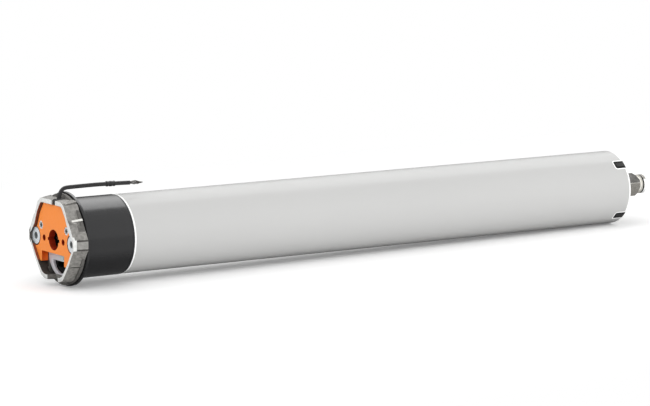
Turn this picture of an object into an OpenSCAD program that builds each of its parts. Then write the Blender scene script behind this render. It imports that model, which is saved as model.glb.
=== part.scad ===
// Tubular roller blind motor, large size, with a radio receiver.
// The origin is on the motor's axis, at the mouth of the head's central bore.
// +X runs along the axis to the output shaft, +Z is up and -Y is the side with the aerial.

/* [Motor tube] */
// Outside diameter of the tube
tube_d = 58; // [57:0.5:60]
// Wall of the tube
tube_wall = 1.5; // [1.3:0.1:1.6]
// Length of the tube
tube_len = 450.8; // [445:1:480]
// Width of the four notches at the output end
notch_w = 7; // [5:0.1:8]
// Length of the four notches
notch_len = 9.8; // [6:0.1:12]

/* [Head casting] */
// Half height of the casting
head_half_h = 30; // [29:0.5:31]
// Half width of the flat top
head_top_half = 16; // [14:0.5:17]
// Half width over the two screw lugs
lug_reach = 36.6; // [36:0.2:38]
// Half height of a lug's end face
lug_half = 3.6; // [3:0.2:5]
// Wall of the rim
rim_wall = 4; // [3.6:0.1:4.4]
// How far the rim stands proud of the plate
rim_proud = 1.9; // [1.4:0.1:2.4]
// Width of the rim's front edge, as a share of its width at the back
rim_draft_y = 0.935; // [0.92:0.005:0.97]
// Height of the rim's front edge, as a share of its height at the back
rim_draft_z = 0.975; // [0.96:0.005:0.99]
// Thickness of the casting's floor, behind the plate
floor_t = 3.6; // [3.4:0.1:5]
// Diameter of the round step behind the rim
back_ring_d = 66.2; // [61:0.2:67]
// Thickness of the round step
back_ring_t = 2.2; // [1.6:0.1:3]
// Height of the cast ribs on the rim
rib_h = 1.2; // [0.8:0.1:1.6]
// Width of the cast ribs
rib_w = 1.8; // [1.2:0.1:2.4]

/* [Head plate] */
// Thickness of the orange plate
plate_t = 5; // [4.6:0.1:7]
// Height of the plate's top edge above the axis
plate_top = 25.4; // [24.5:0.1:25.6]
// Diameter of the central bore
bore_d = 15; // [14:0.5:16]
// Depth of the central bore in the plate and its boss
bore_len = 7; // [6.8:0.1:8]
// Wall of the boss round the bore
boss_wall = 2.2; // [1.8:0.1:2.6]
// Width of the two key slots in the bore
key_w = 2.2; // [1.6:0.1:3]
// Depth of the key slots
key_depth = 1.5; // [1:0.1:1.8]
// Diameter of the pair of fixing holes
fix_hole_d = 4.6; // [4:0.1:5]
// Distance between the fixing holes
fix_pitch = 29.2; // [28.8:0.2:30]
// Height of the window's top edge, below the axis
window_top = 9.8; // [9.6:0.1:10.2]
// Left edge of the window
window_left = 18.6; // [18:0.1:19]
// Right edge of the window
window_right = 15.7; // [15.4:0.1:16]
// Clearance of the plate in the casting
plate_gap = 0.3; // [0.2:0.05:0.5]
// Width of the groove between the plate's slanted sides and the rim
pocket_margin = 1.5; // [1:0.1:2]

/* [Screws] */
// Distance between the two lug screws
lug_pitch = 55; // [54.6:0.2:55.4]
// Head diameter of the lug screws
lug_head_d = 12.4; // [12:0.1:12.8]
// Thread diameter of the lug screws
lug_thread_d = 6; // [5:0.5:6]
// Across flats of the lug screws' hex socket
lug_hex = 4; // [3:0.5:5]
// Distance of the plate screws from the middle
plate_screw_y = 19.35; // [19:0.05:19.6]
// Height of the plate screws above the axis
plate_screw_z = 8.6; // [8:0.1:9]
// Head diameter of the plate screws
plate_head_d = 6; // [5.5:0.1:6.2]
// Thread diameter of the plate screws
plate_thread_d = 3; // [2.5:0.5:3.5]
// Thread diameter of the screws that hold the neck
neck_thread_d = 3.5; // [3:0.5:4]
// Head diameter of the screws that hold the neck
neck_head_d = 6.4; // [6:0.1:7]

/* [Cable socket] */
// Radius of the D-shaped opening in the bracket
socket_r = 11.2; // [11:0.1:11.4]
// Height of the opening's flat top, below the axis
socket_top = 15.8; // [15.6:0.1:16]
// Thickness of the metal bracket
bracket_t = 2; // [1.6:0.1:2.4]
// Width of the plug cavity
cavity_w = 14; // [13:0.5:14.5]
// Height of the plug cavity
cavity_h = 4.8; // [4.4:0.1:5]
// Depth of the plug cavity, from the bracket
cavity_len = 14; // [13:0.5:15]
// Wall of the socket
socket_wall = 1.4; // [1.2:0.1:1.5]
// Number of contact pins
pin_count = 4; // [3:1:4]
// Diameter of a contact pin
pin_d = 1.6; // [1.2:0.1:2]
// Length of a pin inside the cavity
pin_reach = 8; // [6:0.5:9]

/* [Aerial] */
// Diameter of the aerial wire
aerial_d = 3; // [2.6:0.1:3.2]
// Diameter of the crimped sleeve
sleeve_d = 4.2; // [3.8:0.1:4.6]
// Length of the crimped sleeve
sleeve_len = 7; // [5:0.5:9]
// Length of the bare strands at the tip
tip_len = 11; // [8:0.5:13]
// Width of the grommet
grommet_w = 5; // [4.6:0.1:5.4]

/* [Crown] */
// Outside diameter of the crown's barrel
crown_d = 58.4; // [58.2:0.1:60]
// Diameter of the crown's flange
crown_flange_d = 68.2; // [66:0.2:70]
// Thickness of the flange
crown_flange_t = 2.2; // [1.8:0.1:2.8]
// Bore of the crown
crown_bore_d = 51; // [50.8:0.1:51.2]
// Gap between the casting and the crown
crown_gap = 1; // [0.6:0.1:1.4]
// Length of the crown over all
crown_len = 39.8; // [38:0.1:42]
// Teeth of the crown's inner gear
crown_teeth = 66; // [66:6:66]
// Teeth of the sensor pinion
sensor_teeth = 12; // [12:6:12]
// Module of the crown's gear
crown_module = 0.8; // [0.78:0.01:0.8]
// Width of the crown's gear
crown_gear_w = 6; // [5:0.5:7]

/* [Neck] */
// Running clearance between the neck and the crown
neck_gap = 0.1; // [0.06:0.01:0.1]
// Play of the crown along the axis
end_gap = 0.2; // [0.1:0.05:0.4]
// Wall of the neck
neck_wall = 2.4; // [2.2:0.1:2.6]
// Thickness of the neck's front wall
neck_front_t = 3; // [2.5:0.1:3.5]
// Thickness of the shoulder between the crown and the tube
shoulder_t = 1; // [0.8:0.1:1.4]
// Length of the neck that fits in the tube
spigot_len = 17; // [12:0.5:20]
// Clearance of everything that fits in the tube
tube_fit = 0.15; // [0.05:0.05:0.2]

/* [Electronics] */
// Wall of the tray
tray_wall = 1.8; // [1.4:0.1:2.2]
// Thickness of the circuit board
board_t = 1.6; // [1.2:0.2:2]
// Width of the circuit board
board_w = 40; // [38:1:40]
// Depth of the board's underside below the tube's inner wall
board_depth = 19.5; // [19:0.5:20.5]
// Diameter of the run capacitor
cap_d = 35; // [32:1:36]
// Length of the run capacitor
cap_len = 65; // [58:1:68]
// Thickness of the capacitor's cradle
cradle_t = 1.5; // [1.2:0.1:2]
// Space between the tray and the capacitor, for the leads
tray_space = 4; // [3:0.5:6]
// Space between the capacitor and the motor
cap_space = 6; // [4:0.5:8]

/* [Motor] */
// Length of the stator's iron
stator_len = 95; // [85:1:100]
// Bore of the stator
stator_bore_d = 28.6; // [28:0.2:30]
// Number of stator slots
slot_count = 12; // [12:6:12]
// Width of a stator slot
slot_w = 3.6; // [3:0.1:4]
// Iron left between a stator slot and the tube
yoke_t = 4.35; // [4:0.05:6]
// Length of a winding head
winding_len = 11; // [9:0.5:13]
// Air gap between the rotor and the stator
air_gap = 0.4; // [0.3:0.05:0.5]
// Diameter of the rotor's shaft
shaft_d = 8; // [7:0.5:8]
// Thickness of an end shield
shield_t = 9; // [8:0.5:11]
// Running clearance of the shafts in their bushes
bush_gap = 0.05; // [0.02:0.01:0.08]
// Wall of a bush
bush_wall = 3; // [2:0.5:4]

/* [Brake] */
// Length of the brake's magnet
magnet_len = 17; // [15:0.5:20]
// Space between the brake and the tube
brake_space = 2.5; // [2.2:0.1:4]
// Thickness of the armature
armature_t = 4; // [3:0.5:5]
// Air gap of the released brake
brake_gap = 0.6; // [0.5:0.05:0.8]
// Thickness of the friction disc
friction_t = 3; // [2:0.5:4]
// Slip between the brake's faces
brake_slip = 0.1; // [0.05:0.05:0.15]

/* [Gearbox] */
// Teeth of the sun wheels
sun_teeth = 12; // [12:3:12]
// Teeth of the planet wheels
planet_teeth = 21; // [21:3:21]
// Wall of the ring gear behind its teeth
ring_wall = 1.925; // [1.9:0.025:2.4]
// Play between the teeth, at the pitch circle
backlash = 0.16; // [0.12:0.02:0.22]
// Width of the first stage's wheels
stage_1_w = 12; // [9:1:14]
// Width of the second stage's wheels
stage_2_w = 15; // [12:1:18]
// Width of the third stage's wheels
stage_3_w = 20; // [16:1:24]
// Thickness of the first two carriers
carrier_t = 5; // [3:0.5:6]
// Thickness of the output carrier
output_carrier_t = 7; // [5:0.5:8]
// Diameter of the planets' pins
planet_pin_d = 6; // [5:0.5:6]
// Gap along the axis between wheels and carriers
stage_gap = 0.4; // [0.3:0.1:0.6]
// Thickness of the gearbox's front plate
front_plate_t = 6; // [5:0.5:8]

/* [Output] */
// Length of the end flange inside the tube
flange_len = 28; // [26:1:32]
// Across flats of the square shaft
square_af = 13.4; // [13:0.1:13.8]
// Across the square's bevelled corners
square_ac = 18.6; // [18:0.1:19]
// Length of the square beyond the tube
square_len = 27.4; // [24:0.2:30]
// Turn of the square about the axis
square_turn = 30; // [0:1:45]
// Diameter of the shaft's journal
journal_d = 16; // [15:0.5:17]
// Diameter of the groove behind the end collar
groove_d = 12.8; // [11:0.2:13]
// Length of the groove
groove_len = 2.2; // [1.4:0.1:3]
// Diameter of the end collar
collar_d = 15.2; // [14:0.1:16]
// Length of the end collar
collar_len = 5.2; // [3.5:0.1:7]
// Length of the bevel on the collar's end
collar_bevel = 1.2; // [0.8:0.1:1.6]

/* [Hidden] */
$fn = 72;
cut = 1;
pressure = 25;

// Places along the axis, from the head to the output
rim_front = -rim_proud;
floor_x = plate_t;
casting_back = floor_x + floor_t;
crown_front = casting_back + crown_gap;
crown_end = crown_front + crown_len;
shoulder_x = crown_end + end_gap;
tube_x = shoulder_x + shoulder_t;
tube_end = tube_x + tube_len;
spigot_end = tube_x + spigot_len;
tray_x = spigot_end + end_gap;
crown_gear_x = crown_front + 18;

// The gearbox, the brake and the motor stand one behind the other, from the tube's end to the head
flange_x = tube_end - flange_len;
ring_end = flange_x;
gearbox_len = stage_1_w + stage_2_w + stage_3_w + 2 * carrier_t + output_carrier_t + 7 * stage_gap;
ring_x = ring_end - gearbox_len;
front_plate_x = ring_x - front_plate_t;
friction_x = front_plate_x - brake_slip - friction_t;
armature_x = friction_x - brake_slip - armature_t;
magnet_back = armature_x - brake_gap;
magnet_front = magnet_back - magnet_len;
shield_2_x = magnet_front - shield_t;
stator_end = shield_2_x - winding_len;
stator_x = stator_end - stator_len;
winding_1_x = stator_x - winding_len;
shield_1_x = winding_1_x - shield_t;
cap_end = shield_1_x - cap_space;
cap_x = cap_end - cap_len;
// The tray takes the rest of the tube
tray_end = cap_x - tray_space;
tray_len = tray_end - tray_x;

// Radii that one piece takes from another
tube_r = tube_d / 2;
tube_in_r = tube_r - tube_wall;
fit_r = tube_in_r - tube_fit;
crown_bore_r = crown_bore_d / 2;
neck_r = crown_bore_r - neck_gap;
neck_in_r = neck_r - neck_wall;
spigot_in_r = fit_r - neck_wall;
bore_r = bore_d / 2;
boss_r = bore_r + boss_wall;
key_r = bore_r + key_depth;

// The head's outline: one half, from the middle of the top to the middle of the bottom
head_half = [
    [head_top_half, head_half_h], [21.5, head_half_h - 3], [26.5, 18], [29.2, 15.3],
    [33, 9.5], [lug_reach, lug_half], [lug_reach, -lug_half], [33.2, -8], [28, -15.8],
    [23, -22], [17.5, 2 - head_half_h], [12, -head_half_h]
];
// Cast ribs: place on the outline, and the angle that each one faces
rib_places = [[27.9, 16.7, 45], [27.7, -16.1, -33], [18.8, head_half_h - 1.5, 62]];
rib_lean = -9;
rib_len = 9.2;
// The plate's upper edge, from the top to the sides
plate_half = [[14.5, plate_top], [20.4, 17.6], [24.6, 8.5], [32, 0], [32, -2 * head_half_h]];
plate_low = -17.5;

// Screws in the head
lug_head_h = 3.6;
lug_len = 8;
plate_screw_len = 8.2;
neck_screw_r = 18.6;
neck_screw_angles = [55, 125, -14, 194];
neck_screw_len = 12;
spigot_tube_len = 24;
lug_boss_r = lug_head_d / 2 + 0.6;
recess = 0.6;

// Cable socket, in the casting's window
floor_window = [[-14.6, -26], [17.6, -10.6]];
bracket_r = 16.2;
bracket_centre = [1.5, -10.6];
socket_arc_z = -(socket_top - 2);
socket_body_w = cavity_w + 2 * socket_wall;
socket_body_top = -(socket_top - socket_wall);
socket_body_h = cavity_h + 2 * socket_wall;
socket_back = floor_x + bracket_t + cavity_len + socket_wall;
pin_pitch = 3.6;
pin_z = -(socket_top + cavity_h / 2);

// Aerial: hand-chosen points of its route, from the grommet to the bare strands
aerial_y = -4.2;
aerial_route = [
    [2.6, aerial_y, 30], [2.7, aerial_y, 31], [3.1, aerial_y, 32.4], [3.7, aerial_y, 34],
    [4.6, aerial_y, 35.5], [5.8, aerial_y, 36.7], [7.2, aerial_y, 37.4], [9, aerial_y, 37.7],
    [11.5, aerial_y, 37.8], [14.5, aerial_y, 37.85], [18, aerial_y, 37.9], [23, aerial_y, 37.95],
    [28, aerial_y, 38], [34, aerial_y, 38], [41, aerial_y, 37.9], [48, aerial_y, 37.75],
    [55, aerial_y, 37.55], [60.5, aerial_y, 37.35]
];
sleeve_at = 14;
grommet_x = -0.6;
grommet_len = 7.4;
grommet_base = head_half_h - rim_wall - 0.2;

// Crown and position sensor
sensor_angle = 60;
crown_pitch_r = crown_module * crown_teeth / 2;
sensor_pitch_r = crown_module * sensor_teeth / 2;
sensor_centre_r = crown_pitch_r - sensor_pitch_r;
sensor_shaft_r = 1.5;
web_t = 2.5;
web_gap = 0.5;
sensor_web_1 = crown_gear_x - web_gap - web_t;
sensor_web_2 = crown_gear_x + crown_gear_w + web_gap;
magnet_x = sensor_web_2 + web_t + web_gap;
magnet_t = 3;
magnet_r = 3.2;
magnet_gap = 0.4;

// Electronics
board_x = magnet_x + magnet_t + 1;
board_z = tube_in_r - board_depth;
board_end = tray_end - 2;
board_len = board_end - board_x;
sensor_board = [1.8, 4.4, 8.6];
relay_size = [16, 9, 12];
relay_places = [[board_x + 43, -13], [board_x + 43, 2], [board_x + 60.5, -9.8]];
radio_size = [24, 15, 1.2];
terminal_size = [12, 9, 8];
terminal_x = board_end - terminal_size[0] - 1;
lead_d = 1.8;
lead_r = 21.6;
lead_angles = [130, 140, 150];
cap_lead_y = [2, 7];
cap_lead_z = board_z + board_t + 4;
supply_y = [-5.4, -1.8, 1.8, 5.4];
supply_x = board_x + 12;
hall_offset = 0.4;

// Capacitor
cap_r = cap_d / 2;
cradle_gap = 0.2;
cradle_r = cap_r + cradle_gap + cradle_t;
fin_t = 3;

// Motor
stator_bore_r = stator_bore_d / 2;
rotor_r = stator_bore_r - air_gap;
shaft_r = shaft_d / 2;
bush_in_r = shaft_r + bush_gap;
bush_r = bush_in_r + bush_wall;
slot_gap = 0.2;
slot_in_r = stator_bore_r + 1.2;
slot_depth = fit_r - yoke_t - slot_in_r;
winding_in_r = slot_in_r + slot_gap;
winding_r = slot_in_r + slot_depth - slot_gap;

// Brake
brake_r = tube_in_r - brake_space;
guide_r = brake_r - 3.8;
coil_r = guide_r - 2.7;
coil_in_r = coil_r - 7.5;
coil_len = 12;
coil_gap = 0.2;
friction_r = coil_r;
spring_pocket_r = coil_in_r - 1.8;
spring_pocket_len = 8;
spring_wire_d = 1.2;
spring_r = spring_pocket_r - 1.8;
spring_turns = 5;
guide_pin_r = 1.5;
guide_gap = 0.08;
spring_stop = 0.15;

// Gearbox
ring_teeth = sun_teeth + 2 * planet_teeth;
gear_module = (fit_r - ring_wall) / (ring_teeth / 2 + 1.25);
sun_pitch_r = gear_module * sun_teeth / 2;
planet_pitch_r = gear_module * planet_teeth / 2;
planet_centre_r = sun_pitch_r + planet_pitch_r;
stage_1_x = ring_x + stage_gap;
carrier_1_x = stage_1_x + stage_1_w + stage_gap;
stage_2_x = carrier_1_x + carrier_t + stage_gap;
carrier_2_x = stage_2_x + stage_2_w + stage_gap;
stage_3_x = carrier_2_x + carrier_t + stage_gap;
output_carrier_x = stage_3_x + stage_3_w + stage_gap;
pin_r = planet_pin_d / 2;
planet_bore_r = pin_r + bush_gap;
carrier_r = planet_centre_r + pin_r + 2.55;
sun_shaft_r = 3;
sun_bore_r = 3;
carrier_bore_r = 2.6;

// Output end
journal_r = journal_d / 2;
output_bush_r = journal_r + bush_gap + bush_wall;
square_end = tube_end + square_len;
groove_end = square_end + groove_len;
shaft_end = groove_end + collar_len;
lug_turn = 45;
lug_gap = 0.15;
notch_round = 1.6;

// Puts what is drawn flat in Y and Z, and raised along X, at a place on the axis
module along(x) {
    translate([x, 0, 0]) rotate([90, 0, 90]) children();
}

module disc(x, r, t) {
    along(x) cylinder(r = r, h = t);
}

module hollow(x, r, inner, t) {
    along(x) difference() {
        cylinder(r = r, h = t);
        translate([0, 0, -cut]) cylinder(r = inner, h = t + 2 * cut);
    }
}

module round_cut(x, r, t, at = [0, 0]) {
    translate([0, at[0], at[1]]) disc(x, r, t);
}

function polar(r, a) = [r * cos(a), r * sin(a)];

// Involute gears. The profile of a gear with a play of its own at the pitch circle
function involute(a) = tan(a) * 180 / PI - a;
function flank_angle(teeth, pitch_r, base_r, play, r) =
    90 / teeth - play / pitch_r * 90 / PI + involute(pressure) - involute(acos(min(1, base_r / r)));
function tooth_half(teeth, pitch_r, root_r, tip_r, play, steps) =
    let (base_r = pitch_r * cos(pressure), low = max(root_r, base_r))
    concat(
        root_r < base_r ? [[root_r, flank_angle(teeth, pitch_r, base_r, play, low)]] : [],
        [for (i = [0 : steps]) let (r = low + (tip_r - low) * i / steps)
            [r, flank_angle(teeth, pitch_r, base_r, play, r)]]
    );
function gear_points(teeth, pitch_r, root_r, tip_r, play, steps = 3) =
    let (half = tooth_half(teeth, pitch_r, root_r, tip_r, play, steps), n = len(half))
    [for (tooth = [0 : teeth - 1]) for (i = [0 : 2 * n - 1])
        let (p = i < n ? half[i] : half[2 * n - 1 - i], side = i < n ? -1 : 1)
        polar(p[0], 360 * tooth / teeth + side * p[1])];

module wheel_profile(teeth, module_size) {
    pitch = module_size * teeth / 2;
    polygon(gear_points(teeth, pitch, pitch - 1.25 * module_size, pitch + module_size, backlash / 2));
}

// The space inside a ring gear, whose teeth point inwards
module ring_profile(teeth, module_size) {
    pitch = module_size * teeth / 2;
    polygon(gear_points(teeth, pitch, pitch - 0.8 * module_size, pitch + 1.25 * module_size, -backlash / 2));
}

module screw(x, head_r, head_h, thread_r, length) {
    disc(x + head_h / 2, thread_r, length - head_h / 2);
    along(x) cylinder(r1 = head_r, r2 = thread_r, h = head_h);
}

module screw_hole(x, head_r, head_h, thread_r, length) {
    disc(x + head_h / 2, thread_r, length - head_h / 2 + cut);
    along(x) cylinder(r1 = head_r, r2 = thread_r, h = head_h);
    disc(x - cut, head_r, cut);
}

module head_outline() {
    polygon(concat(head_half, [for (i = [len(head_half) - 1 : -1 : 0]) [-head_half[i][0], head_half[i][1]]]));
}

module plate_shape() {
    polygon(concat(plate_half, [for (i = [len(plate_half) - 1 : -1 : 0]) [-plate_half[i][0], plate_half[i][1]]]));
}

// The pocket follows the rim below, and the plate's slanted sides above
module pocket_outline(gap = 0) {
    intersection() {
        offset(delta = -(rim_wall + gap)) head_outline();
        offset(delta = pocket_margin - gap) plate_shape();
    }
}

module head_casting() color("#8d8b86") difference() {
    union() {
        // The casting's draft: its side narrows from the back to the rim's front edge
        along(casting_back) mirror([0, 0, 1])
            linear_extrude(casting_back - rim_front, scale = [rim_draft_y, rim_draft_z]) head_outline();
        disc(casting_back - back_ring_t, back_ring_d / 2, back_ring_t);
        for (side = [-1, 1]) for (p = rib_places)
            translate([casting_back, side * p[0], p[1]])
                rotate([side * (p[2] - 90), 0, 0]) rotate([0, rib_lean, 0])
                    translate([-rib_len, -rib_w / 2, -2 * rib_h])
                        cube([rib_len, rib_w, 3 * rib_h]);
    }
    difference() {
        along(rim_front - cut) linear_extrude(rim_proud + floor_x + cut) pocket_outline();
        for (side = [-1, 1]) round_cut(0, lug_boss_r, floor_x + cut, [side * lug_pitch / 2, 0]);
    }
    round_cut(floor_x - cut, boss_r + plate_gap, floor_t + 2 * cut);
    for (side = [-1, 1]) {
        translate([0, side * lug_pitch / 2, 0])
            screw_hole(0, lug_head_d / 2, lug_head_h, lug_thread_d / 2, casting_back);
        round_cut(floor_x - cut, plate_thread_d / 2, floor_t + 2 * cut, [side * plate_screw_y, plate_screw_z]);
        round_cut(floor_x - cut, fix_hole_d / 2, floor_t + 2 * cut, [side * fix_pitch / 2, 0]);
    }
    for (a = neck_screw_angles) translate([0, neck_screw_r * cos(a), neck_screw_r * sin(a)])
        screw_hole(floor_x, neck_head_d / 2, 1.8, neck_thread_d / 2, floor_t);
    translate([floor_x - cut, floor_window[0][0], floor_window[0][1]])
        cube([floor_t + 2 * cut, floor_window[1][0] - floor_window[0][0], floor_window[1][1] - floor_window[0][1]]);
    // The notch for the aerial, and the slot that the supply cable leaves through
    translate([rim_front - cut, aerial_y - grommet_w / 2, grommet_base])
        cube([grommet_x + grommet_len + cut + rim_proud, grommet_w, head_half_h]);
    translate([rim_front - cut, -9, -head_half_h - cut]) cube([rim_proud + floor_x + cut, 16, rim_wall + 2 * cut]);
}

module plate_outline() {
    intersection() {
        pocket_outline(plate_gap);
        plate_shape();
        translate([-head_half_h * 2, plate_low]) square([head_half_h * 4, head_half_h * 2]);
    }
}

module head_plate() color("#f5914e") difference() {
    union() {
        along(0) linear_extrude(plate_t) plate_outline();
        disc(0, boss_r, bore_len);
    }
    for (side = [-1, 1]) {
        round_cut(-cut, lug_boss_r + plate_gap, plate_t + 2 * cut, [side * lug_pitch / 2, 0]);
        round_cut(-cut, fix_hole_d / 2, plate_t + 2 * cut, [side * fix_pitch / 2, 0]);
        translate([0, side * plate_screw_y, plate_screw_z])
            screw_hole(0.2, plate_head_d / 2 + 0.1, 2, plate_thread_d / 2 + 0.1, plate_t);
    }
    difference() {
        translate([-cut, -window_right, -head_half_h])
            cube([plate_t + 2 * cut, window_left + window_right, head_half_h - window_top]);
        disc(-2 * cut, boss_r, plate_t + 4 * cut);
    }
    disc(-cut, bore_r, bore_len + 2 * cut);
    translate([-cut, -key_r, -key_w / 2]) cube([bore_len + 2 * cut, 2 * key_r, key_w]);
}

module plate_screws() color("#b9c3cc") for (side = [-1, 1])
    translate([0, side * plate_screw_y, plate_screw_z]) difference() {
        screw(0.2, plate_head_d / 2, 2, plate_thread_d / 2, plate_screw_len);
        for (turn = [0, 90]) translate([0.1, 0, 0]) rotate([turn, 0, 0]) translate([0, -1.7, -0.35]) cube([1.2, 3.4, 0.7]);
    }

module lug_screws() color("#c9ccce") for (side = [-1, 1])
    translate([0, side * lug_pitch / 2, 0]) difference() {
        screw(0, lug_head_d / 2, lug_head_h, lug_thread_d / 2, lug_len);
        along(-cut) cylinder(r = lug_hex / sqrt(3), h = cut + 3, $fn = 6);
    }

module neck_screws() color("#aeb4ba") for (a = neck_screw_angles)
    translate([0, neck_screw_r * cos(a), neck_screw_r * sin(a)])
        screw(floor_x, neck_head_d / 2, 1.8, neck_thread_d / 2, neck_screw_len);

// The metal frame round the cable socket, in the floor's window
module bracket_outline() {
    intersection() {
        translate(bracket_centre) circle(r = bracket_r);
        translate([floor_window[0][0] + 0.1, floor_window[0][1] + 0.1])
            square([floor_window[1][0] - floor_window[0][0] - 0.2, floor_window[1][1] - floor_window[0][1] - 0.2]);
    }
}

module connector_bracket() color("#a9abac") along(floor_x) linear_extrude(bracket_t) difference() {
    bracket_outline();
    intersection() {
        translate([0, socket_arc_z]) circle(r = socket_r);
        translate([-socket_r, -head_half_h]) square([2 * socket_r, head_half_h - socket_top]);
    }
}

module connector_socket() color("#26272a") difference() {
    union() {
        along(floor_x + bracket_t) linear_extrude(floor_t - bracket_t) bracket_outline();
        intersection() {
            translate([floor_x + bracket_t, -socket_body_w / 2, socket_body_top - socket_body_h])
                cube([cavity_len + socket_wall, socket_body_w, socket_body_h]);
            disc(floor_x, neck_in_r - 0.2, socket_back);
        }
    }
    translate([floor_x, -cavity_w / 2, -socket_top - cavity_h]) cube([bracket_t + cavity_len, cavity_w, cavity_h]);
    for (i = [0 : pin_count - 1]) round_cut(floor_x, pin_d / 2, socket_back, [pin_y(i), pin_z]);
}

function pin_y(i) = pin_pitch * (i - (pin_count - 1) / 2);

module connector_pins() color("#c9a24b") for (i = [0 : pin_count - 1])
    round_cut(floor_x + bracket_t + cavity_len - pin_reach, pin_d / 2, pin_reach + socket_wall, [pin_y(i), pin_z]);

// The spring tab that holds the cable's plug
module plug_clip() color("#b7c2c6") difference() {
    union() {
        translate([floor_x - 1, -13.6, -15]) cube([1, 12, 4.2]);
        translate([floor_x - 2.2, -13.6, -11.6]) cube([2.2, 12, 0.8]);
    }
    round_cut(floor_x - 2, 1.1, 3, [-7.6, -13.2]);
}

module antenna_grommet() color("#1d1e20") difference() {
    translate([grommet_x, aerial_y - grommet_w / 2 + 0.1, grommet_base + 0.1])
        cube([grommet_len - 0.1, grommet_w - 0.2, aerial_route[0][2] - grommet_base - 0.1]);
    translate([aerial_route[0][0], aerial_y, grommet_base]) cylinder(r = 0.7, h = 3, $fn = 24);
}

// A round cord, swept along the points of a route that lies in one plane along X
function unit(v) = v / norm(v);
function route_way(route, i) =
    unit((i == len(route) - 1 ? route[i] : route[i + 1]) - (i == 0 ? route[i] : route[i - 1]));
function cord_ring(at, way, r, sides) =
    let (across = [0, 1, 0], up = cross(way, across))
    [for (k = [0 : sides - 1]) let (a = 360 * (k + 0.5) / sides) at + r * (cos(a) * across + sin(a) * up)];

module cord(route, r, sides) {
    last = len(route) - 1;
    first_way = [0, 0, 1];
    rings = [for (i = [0 : last]) for (p = cord_ring(route[i], i == 0 ? first_way : route_way(route, i), r, sides)) p];
    polyhedron(
        rings,
        concat(
            [[for (k = [0 : sides - 1]) k]],
            [for (i = [0 : last - 1]) for (k = [0 : sides - 1])
                let (n = (k + 1) % sides) [i * sides + n, i * sides + k, (i + 1) * sides + k, (i + 1) * sides + n]],
            [[for (k = [sides - 1 : -1 : 0]) last * sides + k]]
        )
    );
}

module antenna_wire() color("#1b1b1d") cord(aerial_route, aerial_d / 2, 8);

module at_route(i) {
    way = route_way(aerial_route, i);
    translate(aerial_route[i]) rotate([0, atan2(way[0], way[2]), 0]) children();
}

module antenna_sleeve() color("#232326") at_route(sleeve_at) difference() {
    cylinder(r = sleeve_d / 2, h = sleeve_len);
    translate([0, 0, -cut]) cylinder(r = aerial_d / 2, h = sleeve_len + 2 * cut);
}

module antenna_tip() color("#3a3a3c") at_route(len(aerial_route) - 1)
    cylinder(r1 = aerial_d / 2 - 0.5, r2 = 0.35, h = tip_len, $fn = 24);

module drive_crown() color("#1f1f21") difference() {
    union() {
        disc(crown_front, crown_d / 2, crown_len);
        disc(crown_front, crown_flange_d / 2, crown_flange_t);
    }
    disc(crown_front - cut, crown_bore_r, crown_len + 2 * cut);
    along(crown_gear_x) linear_extrude(crown_gear_w) ring_profile(crown_teeth, crown_module);
}

module sensor_place() {
    translate([0, sensor_centre_r * cos(sensor_angle), sensor_centre_r * sin(sensor_angle)]) children();
}

module sensor_pinion() color("#e8e6df") sensor_place() {
    along(crown_gear_x + 0.2) linear_extrude(crown_gear_w - 0.4) wheel_profile(sensor_teeth, crown_module);
    disc(sensor_web_1 - web_gap, sensor_shaft_r, magnet_x + magnet_t - sensor_web_1 + web_gap);
}

module sensor_magnet() color("#4a4d52") sensor_place() hollow(magnet_x, magnet_r, sensor_shaft_r, magnet_t);

// The black neck: it carries the crown, holds the sensor and plugs into the tube
module neck_housing() color("#2a2b2e") difference() {
    union() {
        difference() {
            union() {
                disc(casting_back, neck_r, shoulder_x - casting_back + shoulder_t);
                disc(shoulder_x, tube_r - 0.1, shoulder_t);
                disc(shoulder_x, fit_r, spigot_end - shoulder_x);
            }
            disc(casting_back + neck_front_t, neck_in_r, spigot_end);
            disc(tube_x + neck_wall, spigot_in_r, spigot_len);
        }
        // The tube that takes the bracket's spigot, closed at its end
        disc(casting_back, boss_r, spigot_tube_len + 2);
        for (a = neck_screw_angles) intersection() {
            round_cut(casting_back, neck_head_d / 2 + 0.4, 10, polar(neck_screw_r, a));
            disc(casting_back, neck_r, 12);
        }
        intersection() {
            union() for (x = [sensor_web_1, sensor_web_2])
                rotate([sensor_angle, 0, 0]) translate([x, sensor_centre_r - 4, -6]) cube([web_t, 12, 12]);
            disc(casting_back, neck_r, spigot_end);
        }
    }
    disc(casting_back - cut, bore_r + 0.3, spigot_tube_len);
    for (a = neck_screw_angles)
        round_cut(casting_back - cut, neck_thread_d / 2, neck_screw_len - floor_t + 2 * cut, polar(neck_screw_r, a));
    // The sensor pinion reaches the crown's teeth through a window in the wall
    rotate([sensor_angle, 0, 0]) translate([crown_gear_x - web_gap, sensor_centre_r - 8, -6.4])
        cube([crown_gear_w + 2 * web_gap, 14, 12.8]);
    sensor_place() disc(sensor_web_1 - cut, sensor_shaft_r + bush_gap, magnet_x);
    rotate([sensor_angle, 0, 0]) translate([magnet_x - magnet_gap, sensor_centre_r - 8, -magnet_r - magnet_gap])
        cube([magnet_t + 2 * magnet_gap, 14, 2 * (magnet_r + magnet_gap)]);
    translate([casting_back - cut, -socket_body_w / 2 - 0.1, socket_body_top - socket_body_h - 0.1])
        cube([neck_front_t + 2 * cut, socket_body_w + 0.2, socket_body_h + 0.2]);
    for (side = [-1, 1]) round_cut(casting_back - cut, plate_thread_d / 2 + 0.2, 2, [side * plate_screw_y, plate_screw_z]);
}

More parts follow.
